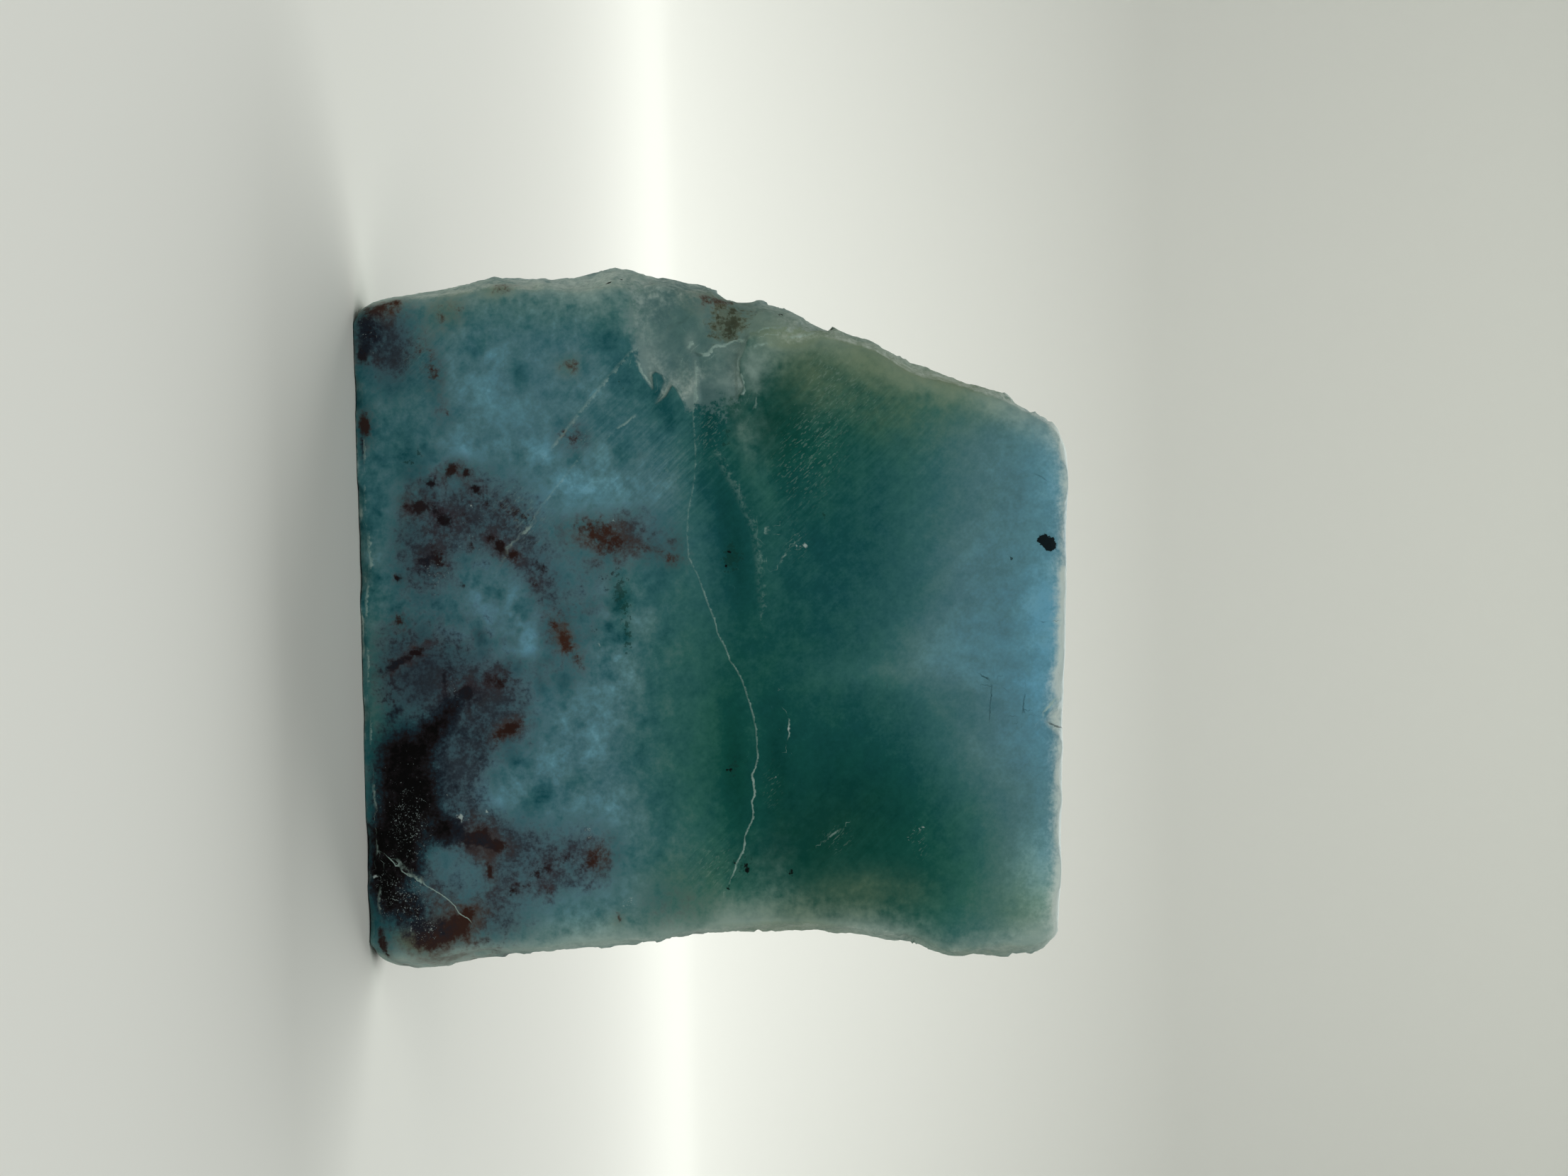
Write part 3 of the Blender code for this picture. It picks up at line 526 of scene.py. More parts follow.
# Iron spots, the last number their redness: 0 is orange-brown and 1 is maroon
IRON_SPOTS = (
    (-3.0, 16.6, 0.4, 0.5, 0, 0.55, 0.1), (-3.5, 15.4, 0.4, 0.8, 10, 0.3, 0.3),
    (-4.4, 12.8, 0.75, 0.85, 0, 0.72, 0.25), (-3.7, 13.6, 0.6, 0.9, 20, 0.5, 0.5),
    (-4.8, 11.6, 0.5, 0.7, 0, 0.4, 0.4), (1.3, 10.85, 0.5, 0.4, 10, 0.78, 0.15),
    (0.4, 10.3, 0.7, 0.28, 40, 0.6, 0.2), (2.3, 11.4, 0.8, 0.35, 35, 0.5, 0.2),
    (-0.5, 11.4, 0.3, 0.6, 10, 0.35, 0.3), (-13.3, 11.5, 0.6, 0.7, 0, 0.5, 0.0),
    (-9.5, 11.3, 0.6, 0.6, 0, 0.56, 0.4), (-8.4, 15.0, 0.22, 0.2, 0, 0.4, 0.0),
    (-5.3, 8.7, 0.35, 0.7, -30, 0.6, 0.8), (-6.1, 7.1, 0.35, 0.9, -30, 0.5, 0.9),
    (-3.8, 7.5, 0.42, 0.32, 20, 1.05, 0.9), (-3.3, 8.2, 0.3, 0.42, 0, 0.75, 0.7),
    (-4.3, 7.0, 0.3, 0.2, 30, 0.8, 0.9), (-3.9, 5.95, 0.32, 0.16, 0, 0.75, 0.8),
    (-6.9, 6.3, 0.3, 0.25, 30, 0.95, 1.0), (-7.75, 5.8, 0.36, 0.22, 0, 0.95, 0.8),
    (-7.9, 5.0, 0.42, 0.3, -30, 1.05, 0.7), (-7.25, 3.95, 0.28, 0.28, 0, 1.1, 1.0),
    (-7.4, 3.5, 0.3, 0.2, 0, 0.35, 1.0), (-5.25, 4.6, 0.38, 0.42, 0, 1.15, 1.0),
    (-5.9, 4.1, 0.3, 0.24, 0, 0.65, 1.0), (-6.0, 3.3, 0.4, 0.4, 0, 1.3, 0.8),
    (-6.1, 2.5, 0.25, 0.2, 0, 0.7, 0.8), (-5.4, 5.7, 0.5, 0.4, 0, 0.4, 0.9),
    (-3.3, 4.2, 0.7, 0.35, 15, 0.85, 0.8), (-3.1, 3.5, 0.2, 0.4, 0, 0.95, 0.9),
    (-2.4, 3.2, 0.5, 0.35, 0, 0.4, 1.0), (-2.25, 2.1, 0.2, 0.17, 0, 1.3, 1.0),
    (0.05, 2.1, 0.36, 0.24, 0, 0.95, 0.6), (-1.8, 9.3, 0.3, 0.3, 0, 0.45, 0.8),
    (-2.6, 9.6, 0.5, 0.5, 0, 0.5, 0.9), (-1.8, 5.5, 0.25, 0.22, 0, 0.6, 0.9),
    (5.85, 7.9, 0.28, 0.5, 25, 1.15, 0.6), (6.25, 7.2, 0.3, 0.45, 30, 0.7, 0.5),
    (3.4, 7.4, 0.4, 0.5, 0, 0.75, 0.8), (3.2, 6.6, 0.5, 0.4, 0, 0.4, 0.9),
    (4.0, 5.5, 0.4, 0.42, 20, 1.35, 0.9), (3.1, 4.4, 0.55, 0.16, 5, 0.7, 0.9),
    (4.2, 4.6, 0.55, 0.4, 0, 0.6, 0.9), (1.75, 2.9, 0.2, 0.65, 28, 1.2, 0.9),
    (2.4, 1.7, 0.2, 0.7, 28, 1.1, 0.8), (12.4, 12.5, 0.9, 0.45, -15, 0.42, 0.2),
    (12.9, 12.0, 0.4, 0.4, 0, 0.5, 0.4), (13.2, 10.9, 1.0, 0.9, 0, 0.3, 0.9),
    (13.5, 9.2, 0.4, 1.0, 35, 0.55, 0.9), (14.5, 7.7, 0.35, 0.8, 25, 0.5, 0.9),
    (14.7, 9.6, 0.32, 0.22, 0, 0.6, 0.8), (12.1, 7.0, 0.32, 0.5, -15, 1.25, 0.6),
    (11.6, 6.1, 0.5, 0.45, 0, 1.35, 0.6), (11.7, 5.3, 0.5, 0.5, 0, 0.75, 0.7),
    (11.0, 4.8, 0.45, 0.4, 0, 0.8, 0.9), (13.4, 6.5, 0.5, 0.2, 5, 0.95, 0.6),
    (15.6, 5.4, 0.35, 0.4, 0, 0.75, 0.4), (16.3, 4.7, 0.7, 0.8, 0, 1.05, 0.35),
    (16.9, 3.5, 0.65, 1.0, 20, 0.9, 0.35), (16.3, 2.7, 0.8, 0.7, 0, 0.7, 0.6),
    (16.1, 13.35, 0.28, 0.14, -20, 0.7, 0.2), (15.8, 12.9, 0.35, 0.3, 0, 0.25, 0.1),
    (-16.5, 1.2, 0.4, 0.7, 0, 0.7, 0.2), (-16.9, 2.0, 0.4, 0.5, 0, 0.5, 0.2),
    (-15.6, 0.7, 0.8, 0.4, 0, 0.9, 0.9), (-14.2, 0.5, 0.6, 0.35, 0, 1.0, 0.9), (-14.6, 3.6, 1.6, 0.8, 0, 0.28, 0.2),
    (-10.4, 0.45, 0.7, 0.34, 0, 1.15, 0.6), (-13.1, 4.2, 0.8, 0.3, 15, 0.5, 0.4),
    (-10.9, 4.9, 0.4, 0.3, 0, 0.42, 0.2), (-16.2, 4.7, 0.6, 0.5, 0, 0.42, 0.2),
    (-16.4, 5.7, 0.5, 0.4, 0, 0.4, 0.2), (-17.7, 7.8, 0.5, 0.7, 0, 0.55, 0.1),
    (17.0, 0.7, 0.9, 0.22, 5, 1.05, 0.7), (-17.0, 18.7, 0.5, 1.0, 0, 0.6, 0.0), (-15.6, 18.8, 0.9, 0.3, -10, 0.3, 0.1),
    (11.2, 0.6, 0.9, 0.2, 10, 0.5, 0.5), (13.2, 2.6, 0.7, 0.3, 35, 0.75, 0.9),
    (5.0, 1.6, 0.6, 0.25, -50, 0.5, 1.0), (-1.0, 5.0, 0.3, 0.2, 0, 0.3, 0.9),
    (6.2, 3.4, 1.3, 0.45, -50, 0.5, 0.5), (7.3, 1.8, 0.5, 1.0, 0, 0.4, 0.5),
)
STAIN_SPREAD = 2.0
STAIN_STRENGTH = 0.46
IRON_GAIN = 1.22
stain = np.zeros(count)
for middle_x, middle_z, half_x, half_z, degrees, strength, _ in IRON_SPOTS:
    wide = (half_x * STAIN_SPREAD, half_z * STAIN_SPREAD)
    stain += spots(((middle_x, middle_z, *wide, degrees, strength * STAIN_STRENGTH),))
keep("stain", np.minimum(stain, 1.0))
iron_amounts = np.stack([spots((spot[:6],)) for spot in IRON_SPOTS])
redness = np.array([spot[6] for spot in IRON_SPOTS])
iron = iron_amounts.sum(axis=0)
keep("iron", np.minimum(IRON_GAIN * iron, 1.5))
keep("redness", (iron_amounts * redness[:, None]).sum(axis=0) / np.maximum(iron, 0.02))
del iron_amounts

# The near-black patch at the lower right
BLACK_PLACES = (
    (7.0, 2.2, 1.5, 1.5, 0, 1.1), (9.4, 2.0, 2.0, 1.6, 0, 1.15), (11.8, 1.6, 1.6, 1.3, 0, 1.0),
    (14.6, 1.2, 1.5, 1.1, 0, 1.05), (4.6, 4.8, 0.8, 0.5, -40, 0.75), (5.8, 3.9, 1.2, 0.8, -45, 0.9),
    (11.2, 4.2, 0.9, 1.0, 0, 0.95), (9.3, 3.4, 1.3, 0.8, 0, 0.65), (12.7, 0.8, 1.4, 0.7, 0, 1.0),
    (15.3, 2.4, 0.7, 0.7, 0, 0.7), (13.2, 2.4, 0.7, 0.6, 30, 0.5), (-15.2, 0.9, 1.3, 0.9, 0, 0.72),
    (-9.2, 0.35, 0.9, 0.18, 0, 0.6), (4.9, 1.7, 0.7, 0.22, -40, 0.55), (12.8, 4.0, 0.5, 0.9, 0, -0.25), (12.6, 2.6, 0.9, 0.7, 20, 0.4),
    (13.9, 4.8, 1.0, 1.2, 0, -0.4), (7.9, 4.3, 1.2, 0.6, 0, 0.06), (11.8, 6.2, 0.7, 1.0, -15, 0.4),
    (16.4, 3.4, 0.9, 1.6, 10, 0.42), (4.2, 6.0, 0.7, 0.9, 20, 0.35), (3.2, 4.4, 0.9, 0.4, 0, 0.3),
    (2.4, 1.6, 0.25, 1.1, 25, 0.6), (-6.0, 3.6, 1.2, 0.9, 0, 0.25), (6.2, 5.6, 0.35, 0.9, -15, 0.35),
    (7.4, 6.2, 0.25, 0.5, 0, 0.3), (1.8, 4.6, 1.0, 0.25, 10, 0.3), (9.0, 5.2, 0.3, 0.8, -20, 0.3), (-3.0, 3.6, 0.9, 0.7, 0, 0.35),
)
keep("black", np.minimum(spots(BLACK_PLACES), 1.3))

# Fine lines, each kept as a signed distance over its half width, so that it stays crisp, with a
# strength that fades out beside it and past its ends: (half width, strength, path)
VEIN = (
    (-12.2, 17.9), (-8.3, 18.0), (-7.0, 17.9), (-5.5, 17.55), (-4.2, 17.45), (-2.9, 17.5),
    (-1.9, 18.0), (-0.75, 18.35), (0.3, 18.75), (1.2, 18.95), (1.9, 19.35), (2.4, 19.45),
    (3.1, 19.9), (3.7, 20.2), (4.4, 20.4), (5.7, 20.75), (6.3, 20.85), (7.8, 20.9), (8.2, 20.8),
    (8.7, 20.55), (9.2, 20.65), (9.7, 20.7), (10.1, 20.5), (10.4, 20.55), (10.9, 20.6),
    (11.8, 20.15), (12.7, 20.0), (13.4, 19.6), (14.0, 19.4), (14.6, 19.1),
)
PALE_LINES = (
    (0.06, 0.42, VEIN),
    (0.035, 0.85, (
        (12.3, 0.9), (12.7, 1.3), (13.2, 1.7), (13.6, 2.3), (13.9, 2.8), (14.2, 3.3), (14.8, 4.2), (15.2, 4.6),
        (15.7, 4.9), (15.9, 5.3), (16.3, 5.6),
    )),
    (0.2, 0.3, ((12.6, 1.4), (13.4, 2.2), (14.0, 3.1))),
    (0.12, 0.34, ((-14.4, 15.2), (-12.4, 13.3), (-8.7, 10.2))),
    (0.08, 0.4, ((-10.7, 15.0), (-10.2, 14.4), (-9.7, 13.6))),
    (0.08, 0.22, ((-8.7, 12.1), (-6.4, 10.2), (-4.4, 8.6), (-2.7, 7.4))),
    (0.1, 0.6, ((-5.0, 9.4), (-4.2, 8.5), (-3.4, 7.6))),
    (0.08, 0.6, ((-3.2, 22.8), (-2.8, 22.5), (-2.5, 22.3))),
    (0.07, 0.6, ((-4.5, 22.0), (-4.4, 21.6), (-4.1, 21.5), (-4.1, 21.9))),
    (0.08, 0.8, ((4.8, 37.0), (5.5, 36.3), (6.1, 35.9))),
    (0.3, 0.14, ((-8.9, 18.9), (-7.5, 19.5), (-6.2, 20.2), (-4.2, 21.0), (-2.2, 21.2), (0.0, 21.3))),
    (0.1, 0.7, ((-14.4, 20.9), (-14.6, 20.0), (-14.3, 19.4), (-14.3, 18.9), (-13.9, 18.6), (-13.9, 18.0))),
    (0.09, 0.5, ((-15.2, 22.4), (-15.1, 21.6), (-14.7, 21.1))),
    (0.1, 0.5, ((-14.3, 22.1), (-14.1, 21.5), (-14.1, 21.0))),
    (0.12, 0.4, ((-14.8, 24.6), (-14.7, 23.6), (-14.5, 22.6))),
    (0.14, 0.6, ((-14.8, 17.5), (-14.4, 17.7), (-13.9, 17.4))),
    (0.07, 0.7, ((-13.6, 15.0), (-12.9, 15.2), (-12.4, 15.5), (-11.95, 15.8))),
    (0.05, 0.6, ((-12.3, 16.55), (-11.6, 16.25), (-11.2, 15.98))),
    (0.07, 0.5, ((-13.8, 17.9), (-12.6, 18.0), (-11.4, 18.05), (-10.8, 17.9))),
    (0.08, 0.5, ((-13.8, 20.3), (-13.0, 20.3), (-12.4, 20.6), (-11.7, 20.7), (-11.3, 20.3))),
    (0.07, 0.45, ((-11.6, 21.3), (-11.0, 21.3), (-10.4, 21.0))),
    (0.06, 0.5, ((-13.5, 18.9), (-13.1, 18.5))),
    (0.05, 0.8, ((5.6, 22.5), (5.9, 22.65), (6.2, 22.55), (6.5, 22.62), (7.0, 22.45))),
    (0.12, 0.3, ((16.1, 37.0), (16.7, 35.8), (17.5, 34.2), (18.2, 32.4))),
    (0.07, 0.35, ((17.3, 36.7), (17.9, 35.5), (18.3, 34.4))),
    (0.07, 0.6, ((11.6, 25.2), (12.1, 24.6), (12.3, 24.3))),
    (0.09, 0.4, ((-9.9, 0.4), (-9.2, 0.47), (-8.2, 0.42))),
    (0.08, 0.35, ((-7.4, 0.36), (-6.6, 0.4), (-5.9, 0.36))),
    (0.13, 0.5, ((-4.8, 0.42), (-4.2, 0.5), (-3.2, 0.62), (-2.4, 0.45))),
    (0.1, 0.5, ((-2.2, 0.34), (-1.0, 0.36), (0.1, 0.32))),
    (0.08, 0.4, ((1.1, 0.32), (2.4, 0.36), (3.6, 0.3))),
    (0.08, 0.35, ((4.8, 0.36), (5.6, 0.4), (6.8, 0.36))),
    (0.09, 0.45, ((8.4, 0.46), (9.2, 0.5), (10.1, 0.56))),
    (0.08, 0.35, ((11.3, 0.5), (12.1, 0.55), (12.7, 0.45))),
    (0.1, 0.35, ((14.0, 0.7), (14.9, 0.56), (15.7, 0.62))),
)
DARK_LINES = (
    (0.06, 0.8, ((0.95, 36.6), (1.0, 36.2), (0.85, 35.9))),
    (0.06, 0.7, ((4.3, 33.8), (4.0, 33.4), (3.8, 33.0), (3.5, 32.6))),
    (0.07, 0.9, ((5.95, 35.15), (5.95, 34.8))),
    (0.07, 0.6, ((4.4, 27.65), (4.75, 27.5))),
    (0.06, 0.8, ((5.5, 37.1), (6.0, 37.15), (6.5, 37.0), (6.4, 36.5), (6.1, 36.0))),
    (0.05, 0.6, ((4.6, 35.15), (5.4, 35.05), (6.1, 34.95))),
    (0.05, 0.5, ((-6.4, 36.8), (-6.8, 36.2), (-7.0, 35.7))),
    (0.05, 0.5, ((3.9, 33.45), (5.2, 33.3), (6.4, 33.2))),
)
LINE_REACH = 0.7
LINE_DEPTH = 1.5


def line_fields(table):
    """The signed distance of the nearest line, over its half width, and that line's strength."""
    nearest = np.full(count, np.inf)
    signed = np.zeros(count)
    strength = np.zeros(count)
    for half_width, line_strength, path in table:
        own = np.full(count, line_strength)
        for end_x, end_z in (path[0], path[-1]):
            own *= ramp(np.hypot(across - end_x, up - end_z), 0.05, 0.5)
        for (start_x, start_z), (end_x, end_z) in zip(path, path[1:]):
            run_x, run_z = end_x - start_x, end_z - start_z
            right, above = across - start_x, up - start_z
            along = np.clip((right * run_x + above * run_z) / (run_x**2 + run_z**2), 0, 1)
            distance = np.hypot(right - along * run_x, above - along * run_z)
            side = np.sign(right * run_z - above * run_x)
            closer = distance < nearest
            nearest = np.where(closer, distance, nearest)
            signed = np.where(closer, side * distance / half_width, signed)
            strength = np.where(closer, own, strength)
    strength *= 1 - ramp(nearest, 0.5 * LINE_REACH, LINE_REACH)
    strength *= 1 - ramp(deep, 0.5 * LINE_DEPTH, LINE_DEPTH)
    return signed, strength


signed, strength = line_fields(PALE_LINES)
strength *= 1 + spots(((9.4, 20.65, 1.4, 0.5, 0, 1.0), (12.8, 20.0, 1.6, 0.8, -20, 0.6), (-6.0, 17.9, 5.0, 0.6, 0, -0.6)))
keep("pale_line", signed)
keep("pale_line_strength", strength)
signed, strength = line_fields(DARK_LINES)
keep("dark_line", signed)
keep("dark_line_strength", strength)

# White specks and black dots, as (x, height, radius)
SPECKS = (
    (10.55, 5.0, 0.22), (10.25, 6.45, 0.13), (9.3, 4.3, 0.13), (13.7, 7.6, 0.12), (-6.0, 6.1, 0.13),
    (4.2, 22.2, 0.18), (6.2, 22.55, 0.13), (8.85, 21.75, 0.14), (-3.45, 23.7, 0.18),
    (-3.35, 23.3, 0.15), (-4.95, 13.6, 0.15), (11.75, 29.5, 0.16), (15.15, 14.1, 0.14),
    (15.5, 13.5, 0.13), (1.5, 12.6, 0.13), (13.5, 0.45, 0.18), (16.4, 3.3, 0.18), (16.2, 2.8, 0.14),
    (14.85, 1.9, 0.14), (10.4, 1.85, 0.15),
)
INK_DOTS = (
    (-3.2, 36.6, 0.36), (-3.4, 36.35, 0.3), (-3.05, 36.75, 0.26), (-3.4, 36.15, 0.16),
    (-2.4, 34.6, 0.1), (-18.2, 13.75, 0.14), (-17.9, 13.1, 0.16), (-16.25, 22.2, 0.14),
    (13.9, 22.45, 0.15), (8.4, 19.4, 0.13), (13.5, 20.1, 0.14), (13.8, 20.1, 0.12),
    (13.2, 19.5, 0.12), (14.6, 19.1, 0.13), (-3.2, 19.6, 0.14), (-2.4, 19.5, 0.12),
)


def distance_to_dots(table):
    """How far each point is outside the nearest dot, in mm, and below 0 inside one."""
    nearest = np.full(count, np.inf)
    for middle_x, middle_z, radius in table:
        nearest = np.minimum(nearest, np.hypot(across - middle_x, up - middle_z) - radius)
    return nearest + 0.5 * np.maximum(0, deep - 1.2)


keep("speck", distance_to_dots(SPECKS))
keep("ink", distance_to_dots(INK_DOTS))

# Where tiny pale flecks lie thick, as soft spots of their share of all places
FLECK_PLACES = (
    (10.6, 2.2, 2.8, 1.6, 0, 0.66), (14.8, 1.8, 1.7, 1.5, 0, 0.66), (16.4, 3.0, 0.8, 0.9, 0, 0.6),
    (-4.8, 6.0, 2.2, 2.0, 0, 0.35), (-2.4, 4.0, 0.9, 0.7, 0, 0.7), (-15.0, 0.8, 1.4, 0.6, 0, 0.5),
    (10.0, 5.8, 0.9, 0.9, 0, 0.5), (11.5, 11.8, 0.5, 0.3, 0, 0.8), (15.3, 13.9, 0.5, 0.8, 0, 0.7),
    (12.3, 29.2, 0.9, 0.6, 0, 0.5), (-9.5, 24.5, 3.0, 1.6, -20, 0.35), (-3.6, 23.2, 0.8, 0.8, 0, 0.5),
    (7.0, 22.3, 2.4, 0.4, 0, 0.3), (12.2, 24.6, 0.7, 0.6, 0, 0.4), (-7.0, 8.4, 0.8, 0.6, 0, 0.3),
    (3.6, 4.8, 0.9, 0.6, 0, 0.5), (-9.4, 12.0, 0.6, 0.6, 0, 0.4), (12.8, 11.0, 1.6, 1.4, 0, 0.25),
)
keep("flecks", spots(FLECK_PLACES) * np.exp(-0.4 * deep) + 0.05)

# Where short pale dashes lie along the saw's streaks
DASH_PLACES = (
    (-8.2, 24.0, 3.0, 1.9, -20, 1.0), (-12.6, 25.2, 1.4, 1.6, 0, 0.7), (-10.8, 27.6, 1.6, 1.6, 0, 0.5),
    (-3.4, 23.2, 0.9, 0.7, 0, 0.7), (12.2, 25.0, 0.8, 0.9, 0, 0.8), (12.6, 29.3, 1.2, 0.6, 0, 0.7),
    (-7.6, 16.6, 2.4, 1.8, 0, 0.6), (13.4, 18.4, 1.6, 1.6, 0, 0.7), (-4.8, 9.2, 1.8, 1.6, 0, 0.6),
    (-9.6, 12.4, 1.6, 1.6, 0, 0.5), (-14.0, 3.4, 1.4, 1.6, 0, 0.5), (9.4, 21.6, 1.4, 0.7, 0, 0.6),
    (-6.4, 8.0, 1.0, 1.4, 0, 0.5), (-9.6, 18.9, 1.4, 0.9, 0, 0.8),
)
keep("dashes", np.minimum(spots(DASH_PLACES), 1.0))

# Where the saw and grit have scratched the face most
SCRATCHED_PLACES = (
    (-10.5, 26.0, 3.6, 4.5, 0, 1.0), (-8.0, 17.2, 3.0, 2.4, 0, 1.0), (-13.8, 3.5, 1.8, 2.0, 0, 0.9),
    (13.6, 19.0, 2.0, 1.8, 0, 0.8), (-10.5, 13.5, 3.5, 2.5, 0, 0.7), (-4.5, 8.5, 2.5, 2.0, 0, 0.5),
    (-5.0, 23.0, 4.0, 2.0, 0, 0.6), (12.0, 26.0, 2.0, 3.0, 0, 0.4), (2.0, 3.0, 3.0, 2.0, 0, 0.4),
)
keep("scratched", 0.18 + np.minimum(spots(SCRATCHED_PLACES), 1.0) * (1 - broken))

# The spall is a frosted scar with a brown pitted pocket in it. Its outline is crisp on the right
# and fades into the rind on the left.
SOFT_PLACES = ((-16.5, 14.4, 2.2, 1.0, 0, 1.0), (-17.0, 23.5, 2.2, 2.6, 0, 1.0), (-10.7, 19.4, 1.3, 1.2, 0, 2.4))
in_spall = inside_outline(SPALL) - 0.4 * np.maximum(0, deep - 2.0)
LIP_PLACES = (
    (-13.2, 15.5, 1.3, 0.6, 22, 1.0), (-11.6, 17.6, 1.1, 0.5, 20, 1.0), (-12.0, 16.5, 0.8, 0.4, -20, 0.9),
    (-12.6, 20.3, 1.4, 0.3, 0, 0.7), (-12.6, 17.95, 1.6, 0.25, 3, 0.8), (-14.2, 19.4, 0.35, 1.2, 0, 0.6),
    (-14.9, 16.2, 1.8, 0.35, -38, 0.45), (-14.6, 17.6, 0.7, 0.35, 0, 0.8), (-15.6, 18.2, 1.0, 0.3, 0, 0.4),
)
keep("spall", in_spall / (1 + 12 * spots(SOFT_PLACES)))
keep("lip", spots(LIP_PLACES))
keep("pocket", inside_outline(POCKET) - 0.6 * np.maximum(0, deep - 1.5))


# Larimar, sawn and left unpolished: a satin, faintly streaked skin over clouds of milky blue,
# with matt frosted scars where it broke. Scales are in millimetres, from the photo's own grain.


def linear(code):
    """Linear red, green, blue and alpha of an sRGB hex colour."""
    parts = [int(code[index : index + 2], 16) / 255 for index in (1, 3, 5)]
    bright = [part / 12.92 if part <= 0.04045 else ((part + 0.055) / 1.055) ** 2.4 for part in parts]
    return (*bright, 1.0)


def add_node(tree, kind, inputs, **settings):
    """Adds a node with its settings. Inputs are values, or other nodes' outputs to link."""
    node = tree.nodes.new(kind)
    for name, value in settings.items():
        setattr(node, name, value)
    for socket, value in inputs.items():
        if isinstance(value, bpy.types.NodeSocket):
            tree.links.new(value, node.inputs[socket])
        else:
            node.inputs[socket].default_value = value
    return node


larimar = bpy.data.materials.new("sawn_larimar")
larimar.use_nodes = True
tree = larimar.node_tree
tree.nodes.clear()

object_place = add_node(tree, "ShaderNodeTexCoord", {}).outputs["Object"]
in_mm = add_node(
    tree, "ShaderNodeVectorMath", {0: object_place, 3: 1000.0}, operation="SCALE"
).outputs["Vector"]

# Noises, as (grain size in mm, octaves, roughness). A noise keeps mostly to its middle values, so
# each is stretched to run from 0 to 1.
NOISES = {
    "cloud": (1.5, 4.0, 0.58), "wisp": (0.5, 3.0, 0.6), "grain": (0.18, 2.0, 0.6),
}
QUIET_LOW = 0.3
QUIET_HIGH = 0.7
noises = {}
for name, (size, detail, roughness) in NOISES.items():
    values = {"Vector": in_mm, "Scale": 1 / size, "Detail": detail, "Roughness": roughness}
    quiet = add_node(tree, "ShaderNodeTexNoise", values).outputs["Fac"]
    noises[name] = add_node(
        tree, "ShaderNodeMapRange", {0: quiet, 1: QUIET_LOW, 2: QUIET_HIGH, 3: 0.0, 4: 1.0}
    ).outputs[0]
cloud, wisp, grain = noises["cloud"], noises["wisp"], noises["grain"]

# The saw's own streaks: 0.3 mm apart, leaning from the upper left to the lower right
STREAK_LEAN = math.radians(47)
STREAK_SPACING = 0.17
STREAK_LENGTH = 2.0
turned = add_node(
    tree, "ShaderNodeVectorRotate", {"Vector": in_mm, "Angle": -STREAK_LEAN}, rotation_type="Y_AXIS"
).outputs["Vector"]
stretched = add_node(
    tree, "ShaderNodeVectorMath", {0: turned, 1: (1 / STREAK_LENGTH, 0.25, 1 / STREAK_SPACING)},
    operation="MULTIPLY",
).outputs["Vector"]
streak_noise = add_node(
    tree, "ShaderNodeTexNoise", {"Vector": stretched, "Scale": 1.0, "Detail": 2.0, "Roughness": 0.6}
).outputs["Fac"]

amounts = {}
ATTRIBUTES = (
    "milk", "unrest", "cells", "green", "moss", "olive", "pale_rind_and_backlight", "painted_backlight", "broken", "haze", "stain",
    "iron", "redness", "black", "pale_line", "pale_line_strength", "dark_line", "dark_line_strength",
    "speck", "ink", "flecks", "dashes", "scratched", "spall", "lip", "pocket",
)
for name in ATTRIBUTES:
    amounts[name] = add_node(tree, "ShaderNodeAttribute", {}, attribute_name=name).outputs["Fac"]


def shake(base, shares):
    """An amount made uneven by noises, as (noise, how much it adds or takes)."""
    for noise, share in shares:
        base = add_node(
            tree, "ShaderNodeMath", {0: noise, 1: share, 2: base}, operation="MULTIPLY_ADD"
        ).outputs[0]
        base = add_node(
            tree, "ShaderNodeMath", {0: base, 1: share / 2}, operation="SUBTRACT"
        ).outputs[0]
    return base


def roughen(base, shares):
    """An amount made uneven by noises, but not where it is 0."""
    present = add_node(tree, "ShaderNodeMapRange", {0: base, 1: 0.0, 2: 0.3, 3: 0.0, 4: 1.0}).outputs[0]
    return add_node(
        tree, "ShaderNodeMath", {0: shake(0.0, shares), 1: present, 2: base}, operation="MULTIPLY_ADD"
    ).outputs[0]


streak = add_node(
    tree, "ShaderNodeMath", {0: streak_noise, 1: 0.5}, operation="SUBTRACT"
).outputs[0]
streak = add_node(
    tree, "ShaderNodeMath", {0: streak, 1: amounts["scratched"], 2: 0.5}, operation="MULTIPLY_ADD"
).outputs[0]

# Small clear cells in the milk, dark in the middle and closed by paler walls
CELL_SPACING = 1.05
CELL_DEPTH = 0.8
TYPICAL_DISTANCE = 0.42
bent = add_node(
    tree, "ShaderNodeTexNoise", {"Vector": in_mm, "Scale": 1 / 0.9, "Detail": 1.0}
).outputs["Color"]
bent = add_node(
    tree, "ShaderNodeVectorMath", {0: bent, 1: (0.9, 0.9, 0.9), 2: in_mm}, operation="MULTIPLY_ADD"
).outputs["Vector"]
cell_distance = add_node(
    tree, "ShaderNodeTexVoronoi", {"Vector": bent, "Scale": 1 / CELL_SPACING, "Smoothness": 0.6},
    feature="SMOOTH_F1",
).outputs["Distance"]
wall = add_node(
    tree, "ShaderNodeMath", {0: cell_distance, 1: TYPICAL_DISTANCE}, operation="SUBTRACT"
).outputs[0]
wall = add_node(
    tree, "ShaderNodeMath", {0: wall, 1: amounts["cells"]}, operation="MULTIPLY"
).outputs[0]
milky = add_node(
    tree, "ShaderNodeMath", {0: wall, 1: CELL_DEPTH, 2: amounts["milk"]}, operation="MULTIPLY_ADD"
).outputs[0]
CLOUD_SHARE = 0.4
WISP_SHARE = 0.22
billow = shake(0.0, ((cloud, CLOUD_SHARE), (wisp, WISP_SHARE)))
